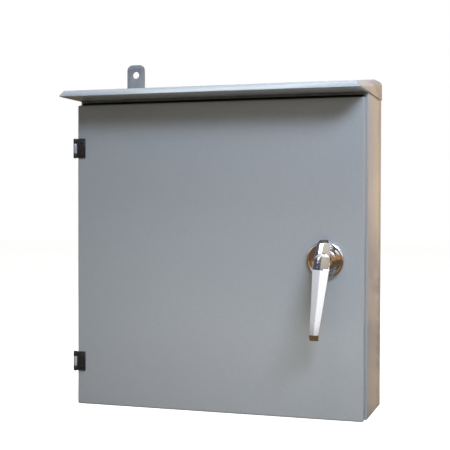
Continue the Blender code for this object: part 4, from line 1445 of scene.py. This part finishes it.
@dataclass
class DriveUnit:
    """Gearbox, motor, interlock slide and the manual lever."""

    screws: Profile = ((-0.029, 0.017), (0.029, 0.017), (-0.029, 0.093), (0.029, 0.093))
    screw_face: float = -0.072
    band_height: float = 0.014
    band: Profile = ((0.0170, 0.0), (0.0174, 0.0004), (0.0174, 0.0136), (0.0170, 0.0140), (0.0168, 0.007))

    def build(self) -> None:
        """Makes the drive."""
        FRAME.rework("drive_gearbox", "gearbox_housing", Edge.SOFTER, Body.ENCLOSURE, LIGHT_PLASTIC)
        places = [(x, self.screw_face, z) for x, z in self.screws]
        SMALL_SCREW.stamp_row("gearbox_screw", places, FORWARD, Body.ENCLOSURE, 40)
        FRAME.rework("drive_motor", "motor_can", Edge.SOFT, Body.ENCLOSURE, ZINC, 3)
        x, y, _ = FRAME.middle("drive_motor")
        foot = (x, y, FRAME.box("drive_motor")[0].z + self.band_height)
        FRAME.add(turned("motor_band", self.band, foot, UP, 64), Body.ENCLOSURE, MOULDED_BLACK)
        FRAME.rework("interlock_slide", "interlock_bar", Edge.SLIGHT, Body.INTERLOCK, ZINC)
        FRAME.rework("manual_lever", "red_manual_lever", Edge.SOFT, Body.MANUAL_DRIVE, SIGNAL_RED, 3)


@dataclass
class Terminals:
    """Load block, neutral bar on its insulator, and ground bar."""

    ways: tuple[float, ...] = (-0.042, -0.014, 0.014, 0.042)
    screw_place: tuple[float, float] = (-0.060, -0.0785)
    pad_half: float = 0.008
    pad_low: tuple[float, float] = (-0.0412, -0.1085)
    pad_high: tuple[float, float] = (-0.0402, -0.0900)
    bars: tuple[tuple[str, str, float], ...] = (
        # node, name, place of the first screw
        ("neutral_bar", "neutral_brass_bar", -0.165),
        ("ground_bar", "ground_brass_bar", 0.081),
    )
    bar_screws: int = 7
    pitch: float = 0.013

    def build(self) -> None:
        """Makes the terminals and their screws."""
        FRAME.rework("load_terminal_block", "load_block", Edge.SOFT, Body.ENCLOSURE, MOULDED_BLACK)
        for i, x in enumerate(self.ways):
            spot = (x, *self.screw_place)
            CLAMP_SCREW.stamp(f"load_screw_{i + 1}", spot, FORWARD, Body.ENCLOSURE, 25 * i)
            pad = block(f"load_pad_{i + 1}", (x - self.pad_half, *self.pad_low),
                        (x + self.pad_half, *self.pad_high))
            FRAME.add(soften(pad, Edge.FINE, 2), Body.ENCLOSURE, ZINC)
        FRAME.rework("neutral_bar_insulator", "neutral_insulator", Edge.ROUNDER, Body.ENCLOSURE,
                     MOULDED_BLACK, 3)
        for node, name, first in self.bars:
            FRAME.rework(node, name, Edge.EASED, Body.ENCLOSURE, BRASS)
            front, z = FRAME.box(node)[0].y, FRAME.middle(node)[2]
            places = [(first + i * self.pitch, front, z) for i in range(self.bar_screws)]
            BAR_SCREW.stamp_row(f"{name}_screw", places, FORWARD, Body.ENCLOSURE, 31)


@dataclass
class ControlUnit:
    """Controller with its face, display, lamps, keys, push button and selector."""

    screen_low: Point = (-0.1572, -0.0628, 0.1588)
    screen_high: Point = (-0.0868, -0.0622, 0.1952)
    lamps: tuple[tuple[float, Finish], ...] = (
        (-0.074, LAMP_GREEN), (-0.0655, LAMP_AMBER), (-0.057, LAMP_RED),
    )
    lamp_height: float = 0.1990
    lamp_dome: Profile = (
        (0, -0.0002), (0.0021, -0.0002), (0.0021, 0.0004), (0.0016, 0.0013), (0.0009, 0.0017), (0, 0.0018),
    )
    keys: tuple[float, ...] = (-0.150, -0.134, -0.118, -0.102)
    key_half: float = 0.0055
    key_rise: float = 0.0014
    key_height: tuple[float, float] = (0.1395, 0.1485)
    button: tuple[float, float] = (-0.056, 0.148)
    collar: Profile = (
        (0.0064, 0.0), (0.0064, 0.0012), (0.0070, 0.0018), (0.0084, 0.0018), (0.0090, 0.0010),
        (0.0090, 0.0),
    )
    pointer_side: tuple[float, float] = (-0.0564, -0.0556)
    pointer_height: tuple[float, float] = (0.1822, 0.1885)
    pointer_rise: float = 0.0001
    pointer_lap: float = 0.0003

    def build(self) -> None:
        """Makes the controller."""
        FRAME.rework("controller_case", "control_case", Edge.SOFT, Body.ENCLOSURE, LIGHT_PLASTIC)
        FRAME.rework("controller_face", "control_face", Edge.SLIGHT, Body.ENCLOSURE, MOULDED_BLACK)
        face = FRAME.box("controller_face")[0].y
        screen = block("status_display", self.screen_low, self.screen_high)
        FRAME.add(soften(screen, Edge.CRISP, 2), Body.ENCLOSURE, DISPLAY)
        for i, (x, finish) in enumerate(self.lamps):
            foot = (x, face, self.lamp_height)
            lamp = turned(f"status_lamp_{i + 1}", self.lamp_dome, foot, FORWARD, 24)
            FRAME.add(lamp, Body.ENCLOSURE, finish)
        bottom, top = self.key_height
        for i, x in enumerate(self.keys):
            key = block(f"soft_key_{i + 1}", (x - self.key_half, face - self.key_rise, bottom),
                        (x + self.key_half, face, top))
            FRAME.add(soften(key, Edge.FULL, 4), Body.ENCLOSURE, POCKET_PLASTIC)
        x, z = self.button
        FRAME.add(turned("button_collar", self.collar, (x, face, z), FORWARD), Body.ENCLOSURE, ZINC)
        FRAME.rework("test_button", "red_push_button", Edge.FULL, Body.BUTTON, SIGNAL_RED, 4)
        FRAME.rework("selector_knob", "selector_grip", Edge.ROUND, Body.SELECTOR, MOULDED_BLACK, 3)
        front = FRAME.box("selector_knob")[0].y
        (left, right), (bottom, top) = self.pointer_side, self.pointer_height
        mark = block("selector_pointer", (left, front - self.pointer_rise, bottom),
                     (right, front + self.pointer_lap, top))
        FRAME.add(soften(mark, Edge.HAIRLINE, 1), Body.SELECTOR, LIGHT_PLASTIC)


@dataclass
class RailGear:
    """Top-hat rail with the fuse holder and the relay."""

    gear: tuple[tuple[str, str, Finish], ...] = (
        ("control_fuse_holder", "fuse_holder", LIGHT_PLASTIC),
        ("control_relay", "plug_in_relay", MOULDED_BLACK),
    )
    screw_columns: tuple[float, ...] = (-0.010, 0.0, 0.010)
    screw_drop: float = 0.016
    screw_spread: float = 0.76
    drawer_half: tuple[float, float] = (0.011, 0.012)
    drawer_rise: float = 0.0022
    drawer_lap: float = 0.0005

    def build(self) -> None:
        """Makes the rail and what is clipped on it."""
        FRAME.rework("din_rail", "top_hat_rail", Edge.CRISP, Body.ENCLOSURE, ZINC)
        half_x, half_z = self.drawer_half
        for node, name, finish in self.gear:
            FRAME.rework(node, name, Edge.EASED, Body.ENCLOSURE, finish)
            low, high = FRAME.box(node)
            x, _, z = FRAME.middle(node)
            rise = (high.z - low.z) / 2 * self.screw_spread
            for i, row in enumerate((z - rise, z + rise)):
                for j, dx in enumerate(self.screw_columns):
                    spot = (x + dx, low.y + self.screw_drop, row)
                    number = len(self.screw_columns) * i + j + 1
                    SMALL_SCREW.stamp(f"{name}_screw_{number}", spot, FORWARD, Body.ENCLOSURE, 17 * (i + j))
            tab = block(f"{name}_drawer", (x - half_x, low.y - self.drawer_rise, z - half_z),
                        (x + half_x, low.y + self.drawer_lap, z + half_z))
            FRAME.add(soften(tab, Edge.ROUND, 3), Body.ENCLOSURE, POCKET_PLASTIC)


@dataclass
class Ducting:
    """Slotted wiring duct and its snap-on cover."""

    edge: Edge = Edge.FINE

    def build(self) -> None:
        """Makes the duct."""
        FRAME.rework("wiring_duct", "slotted_duct", self.edge, Body.ENCLOSURE, POCKET_PLASTIC, 1)


@dataclass
class Wiring:
    """Load jumpers with crimped lugs, and the control harness with its ties."""

    jumpers: tuple[tuple[str, int, int, float, float], ...] = (
        # node, side, pole, place on the load block, depth
        ("jumper_normal_upper", -1, 1, -0.042, -0.0440),
        ("jumper_normal_lower", -1, -1, -0.014, -0.0600),
        ("jumper_standby_upper", 1, 1, 0.042, -0.0440),
        ("jumper_standby_lower", 1, -1, 0.014, -0.0600),
    )
    breaker_z: float = 0.055
    pole: float = 0.018
    cable: float = 0.0042
    block_y: float = -0.0480
    lug_x: float = 0.0668
    lug: Profile = (
        (0, 0), (0.0044, 0), (0.0048, 0.0004), (0.0048, 0.0080), (0.0040, 0.0088), (0, 0.0088),
    )
    sleeve_z: float = -0.0640
    sleeve: Profile = ((0.0043, 0), (0.0049, 0.0003), (0.0049, 0.0117), (0.0043, 0.0120))
    harness: tuple[Point, ...] = (
        (-0.060, -0.040, 0.1237), (-0.060, -0.040, 0.1215), (-0.060, -0.040, 0.1190),
        (-0.050, -0.040, 0.1125), (-0.030, -0.041, 0.1110), (-0.010, -0.042, 0.1115),
        (0.003, -0.043, 0.1105), (0.008, -0.044, 0.1055), (0.008, -0.044, 0.1030),
        (0.008, -0.044, 0.1003),
    )
    wires: tuple[Finish, ...] = (WIRE_RED, WIRE_BLUE, WIRE_YELLOW, CABLE_BLACK, WIRE_RED)
    wire_radius: float = 0.00105
    lay_radius: float = 0.0017
    lay_turn: float = 0.35
    ties: tuple[int, ...] = (3, 4, 5)
    tie: Profile = ((0.0029, -0.0009), (0.0034, -0.0009), (0.0034, 0.0009), (0.0029, 0.0009))

    def jumper(self, name: str, side: int, pole: int, block_x: float, depth: float) -> None:
        """One load cable, the lug crimped on its upper end and the sleeve on its lower.

        Args:
            name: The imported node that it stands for.
            side: -1 for the left breaker, 1 for the right.
            pole: 1 for the upper pole, -1 for the lower.
            block_x: Where it enters the load block.
            depth: How far out it runs beside the gearbox.
        """
        z, y = self.breaker_z + pole * self.pole, self.block_y
        route = [
            (side * 0.0700, depth, z), (side * 0.0590, depth, z), (side * 0.0490, depth, z - 0.006),
            (side * 0.0455, depth, z - 0.022), (side * 0.0455, depth, -0.008),
            (side * 0.0450, depth * 0.6 - 0.0190, -0.030), (block_x, y, -0.050), (block_x, y, -0.060),
            (block_x, y, -0.0697),
        ]
        FRAME.add(wire(f"{name}_cable", route, self.cable), Body.ENCLOSURE, CABLE_BLACK, name)
        lug = turned(f"{name}_lug", self.lug, (side * self.lug_x, depth, z), (side, 0, 0), 32)
        FRAME.add(lug, Body.ENCLOSURE, ZINC)
        cover = turned(f"{name}_sleeve", self.sleeve, (block_x, y, self.sleeve_z), UP, 32)
        FRAME.add(cover, Body.ENCLOSURE, WIRE_RED)

    def _laid(self, strand: int) -> list[Vector]:
        """The route of one wire, laid round the others along the harness.

        Args:
            strand: Number of the wire, from 0.

        Returns:
            The points it passes through.
        """
        points, last = [], len(self.harness) - 1
        for k, place in enumerate(self.harness):
            turn = 2 * math.pi * strand / len(self.wires) + self.lay_turn * k
            ahead, behind = self.harness[min(k + 1, last)], self.harness[max(k - 1, 0)]
            along = (Vector(ahead) - Vector(behind)).normalized()
            across = along.cross(Vector(BACKWARD)).normalized()
            lift = across.cross(along)
            aside = across * self.lay_radius * math.cos(turn)
            points.append(Vector(place) + aside + lift * self.lay_radius * math.sin(turn))
        return points

    def bundle(self) -> None:
        """Five thin wires laid round each other along the harness, and three ties."""
        for i, finish in enumerate(self.wires):
            piece = wire(f"control_wire_{i + 1}", self._laid(i), self.wire_radius, 5)
            nodes = ("control_harness",) if i == 0 else ()
            FRAME.add(piece, Body.ENCLOSURE, finish, *nodes)
        for i, k in enumerate(self.ties):
            along = Vector(self.harness[k + 1]) - Vector(self.harness[k - 1])
            tie = turned(f"cable_tie_{i + 1}", self.tie, self.harness[k], along, 24)
            FRAME.add(tie, Body.ENCLOSURE, POCKET_PLASTIC)

    def build(self) -> None:
        """Makes all the wiring."""
        for jumper in self.jumpers:
            self.jumper(*jumper)
        self.bundle()


@dataclass(frozen=True)
class SoftBox:
    """An area lamp, and which surfaces it acts on."""

    name: str
    place: Point
    aim: Point
    width: float
    height: float
    power: float
    colour: Colour
    lights_matt: bool = True
    shows_in_gloss: bool = True

    def build(self) -> None:
        """Hangs the lamp."""
        lamp = bpy.data.lights.new(self.name, "AREA")
        lamp.shape = "RECTANGLE"
        lamp.size, lamp.size_y = self.width, self.height
        lamp.energy = self.power
        lamp.color = self.colour
        obj = placed(self.name, lamp)
        obj.location = self.place
        obj.rotation_euler = (Vector(self.aim) - Vector(self.place)).to_track_quat("-Z", "Y").to_euler()
        obj.visible_camera = False
        obj.visible_diffuse = self.lights_matt
        obj.visible_glossy = self.shows_in_gloss


@dataclass(frozen=True)
class RoomTone:
    """A colour of the room that glossy surfaces mirror, and the height on the sky where it lies."""

    height: float
    colour: Colour


@dataclass
class Studio:
    """Pale floor, soft light, the warm room that the gloss mirrors, and the camera."""

    camera_place: Point = (0.5045, -1.669, 0.0805)
    camera_turn: Point = (88.97, -0.12, 17.73)
    lens: float = 80.0
    fill: Colour = (0.153, 0.142, 0.109)
    floor_drop: float = 0.0006
    floor_reach: float = 7.0
    floor_thickness: float = 0.02
    floor_pale: Colour = (0.56, 0.56, 0.56)
    floor_patch: Colour = (0.54, 0.54, 0.54)
    floor_glow: float = 0.90
    floor_bounce: Colour = (0.23, 0.21, 0.165)
    floor_before: Colour = (0.13, 0.085, 0.05)
    floor_behind: Colour = (0.72, 0.52, 0.35)
    boxes: tuple[SoftBox, ...] = (
        SoftBox("key", (1.22, -1.65, 1.46), (0.0, -0.147, 0.0), 1.30, 0.62, 60.0, (0.765, 0.86, 1.0)),
        SoftBox("low_front", (0.12, -0.55, -0.20), (0.08, -0.147, -0.2), 0.90, 0.14, 1.25,
                (1.0, 0.88, 0.74), shows_in_gloss=False),
        SoftBox("ceiling", (0.10, -0.20, 1.90), (0.0, -0.20, 0.26), 1.20, 0.40, 42.0,
                (0.88, 0.95, 1.0), shows_in_gloss=False),
        SoftBox("hood_gloss", (-0.62, -0.87, 1.90), (-0.62, -0.209, 0.26), 1.30, 0.60, 12.0,
                (1.0, 1.0, 0.96), lights_matt=False),
    )
    tones: tuple[RoomTone, ...] = (
        RoomTone(-1.0, (0.05, 0.045, 0.04)),
        RoomTone(-0.25, (0.20, 0.11, 0.05)),
        RoomTone(-0.05, (0.50, 0.24, 0.09)),
        RoomTone(0.12, (0.48, 0.25, 0.11)),
        RoomTone(0.20, (0.34, 0.32, 0.33)),
        RoomTone(0.30, (1.05, 1.05, 1.08)),
        RoomTone(0.52, (1.25, 1.27, 1.3)),
        RoomTone(0.60, (0.16, 0.16, 0.22)),
        RoomTone(0.71, (0.13, 0.13, 0.20)),
        RoomTone(0.82, (0.60, 0.54, 0.44)),
        RoomTone(1.0, (1.0, 1.0, 1.0)),
    )
    wall_light: Colour = (1.10, 0.78, 0.50)
    wall_dark: Colour = (0.78, 0.58, 0.40)
    wall_courses: Point = (0.6, 0.6, 9.0)
    course_scale: float = 2.6

    def _bands(self, graph: Graph, height: bpy.types.NodeSocket) -> bpy.types.NodeSocket:
        """The room in front: bands of colour from floor to ceiling.

        Args:
            graph: The world's graph.
            height: Height of the direction looked in, from -1 to 1.

        Returns:
            The colour.
        """
        ramp = graph.put("ValToRGB", {"Fac": graph.spread(height, 0.0, 1.0, -1.0, 1.0)})
        stops = ramp.color_ramp.elements
        for tone, stop in zip(self.tones[:2], stops):
            stop.position, stop.color = (tone.height + 1) / 2, (*tone.colour, 1)
        for tone in self.tones[2:]:
            stops.new((tone.height + 1) / 2).color = (*tone.colour, 1)
        return ramp.outputs["Color"]

    def _room(self, graph: Graph) -> bpy.types.NodeSocket:
        """The room's colour by direction: bands in front, and a streaky warm wall behind.

        Args:
            graph: The world's graph.

        Returns:
            The colour.
        """
        way = graph.put("TexCoord").outputs["Generated"]
        split = graph.put("SeparateXYZ", {0: way}).outputs
        left = graph.spread(split["X"], 0.58, 1.0, -0.45, -0.15)
        dim = graph.spread(split["Y"], 1.0, 0.3, 0.2, 0.6)
        front = graph.mix(1.0, self._bands(graph, split["Z"]), left, "MULTIPLY")
        front = graph.mix(1.0, front, dim, "MULTIPLY")
        streaks = graph.noise(self.course_scale, 3.0, graph.stretch(way, self.wall_courses))
        share = graph.spread(streaks, 0.0, 1.0, 0.35, 0.65)
        wall = graph.mix(share, (*self.wall_dark, 1), (*self.wall_light, 1))
        low = graph.spread(split["Z"], 1.0, 0.0, 0.32, 0.6)
        right = graph.math("MULTIPLY", graph.spread(split["X"], 0.0, 1.0, -0.1, 0.05), low)
        behind = graph.math("MULTIPLY", graph.spread(split["Y"], 0.0, 1.0, 0.1, 0.4), right)
        return graph.mix(behind, front, wall)

    def world(self) -> None:
        """White behind the object, an even fill for its light and the room for its reflections."""
        world = bpy.data.worlds.new("studio")
        world.use_nodes = True
        graph = Graph(world.node_tree)
        seen = graph.put("Background", {"Color": (1, 1, 1, 1), "Strength": 1.0})
        filling = graph.put("Background", {"Color": (*self.fill, 1), "Strength": 1.0})
        mirrored = graph.put("Background", {"Color": self._room(graph), "Strength": 1.0})
        lighting = graph.by_ray("Is Glossy Ray", filling, mirrored)
        both = graph.by_ray("Is Camera Ray", lighting, seen)
        graph.put("OutputWorld", {"Surface": both.outputs[0]})
        bpy.context.scene.world = world

    def _floor_material(self) -> bpy.types.Material:
        """Bright where it is looked at, dim in what it throws back, and warm behind to the right.

        Returns:
            The floor's material.
        """
        material = bpy.data.materials.new("pale_floor")
        material.use_nodes = True
        graph = Graph(material.node_tree)
        colour = graph.mix(graph.noise(3.0, 2.0), (*self.floor_pale, 1), (*self.floor_patch, 1))
        inputs = {"Base Color": colour, "Roughness": 1.0, "Specular IOR Level": 0.0}
        pale = graph.put("BsdfPrincipled", inputs)
        pale.inputs["Emission Color"].default_value = (1, 1, 1, 1)
        pale.inputs["Emission Strength"].default_value = self.floor_glow
        dim = graph.put("BsdfDiffuse", {"Color": (*self.floor_bounce, 1)})
        place = graph.put("SeparateXYZ", {0: graph.put("TexCoord").outputs["Object"]}).outputs
        right = graph.spread(place["X"], 0.0, 1.0, -0.1, 0.3)
        behind = graph.math("MULTIPLY", graph.spread(place["Y"], 0.0, 1.0, -0.25, 0.12), right)
        patches = graph.spread(graph.noise(1.7, 3.0), 0.45, 1.25, 0.35, 0.6)
        warm = graph.mix(1.0, (*self.floor_behind, 1), patches, "MULTIPLY")
        mirrored = graph.put("Emission", {"Color": graph.mix(behind, (*self.floor_before, 1), warm)})
        both = graph.by_ray("Is Camera Ray", graph.by_ray("Is Glossy Ray", dim, mirrored), pale)
        graph.put("OutputMaterial", {"Surface": both.outputs[0]})
        return material

    def floor(self) -> None:
        """A pale floor just under the object."""
        top, reach = FRAME.box("enclosure_shell")[0].z - self.floor_drop, self.floor_reach
        floor = block("studio_floor", (-reach, -reach, top - self.floor_thickness), (reach, reach, top))
        floor.data.materials.append(self._floor_material())

    def camera(self) -> None:
        """The camera at its place."""
        data = bpy.data.cameras.new("camera")
        data.lens = self.lens
        data.sensor_width = 36.0
        obj = placed("camera", data)
        obj.location = self.camera_place
        obj.rotation_euler = [math.radians(angle) for angle in self.camera_turn]
        bpy.context.scene.camera = obj

    def build(self) -> None:
        """Sets up the studio."""
        self.world()
        for box in self.boxes:
            box.build()
        self.floor()
        self.camera()
        bpy.context.scene.view_settings.view_transform = "Standard"


def main() -> None:
    """Builds every sub-assembly in order, logs the pieces each one makes, and removes the fastener
    templates.
    """
    logging.basicConfig(level=logging.INFO, format="%(name)s: %(message)s")
    FRAME.begin()
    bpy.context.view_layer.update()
    Studio().build()
    parts = (
        EnclosureBody(), RainHood(), HangingLug(), SealsAndHeaderShade(), DoorPan(), DoorHinge("upper"),
        DoorHinge("lower"), LeverHandle(), LatchWorks(), BackPanel(),
        SourceBreaker("normal", Body.NORMAL_TOGGLE), SourceBreaker("standby", Body.STANDBY_TOGGLE),
        DriveUnit(), Terminals(), ControlUnit(), RailGear(), Ducting(), Wiring(),
    )
    for part in parts:
        before = len(FRAME.pieces)
        part.build()
        LOG.info("%s: %s", type(part).__name__, ", ".join(FRAME.pieces[before:]))
    for fastener in FASTENERS:
        fastener.discard()


if __name__ == "__main__":
    main()
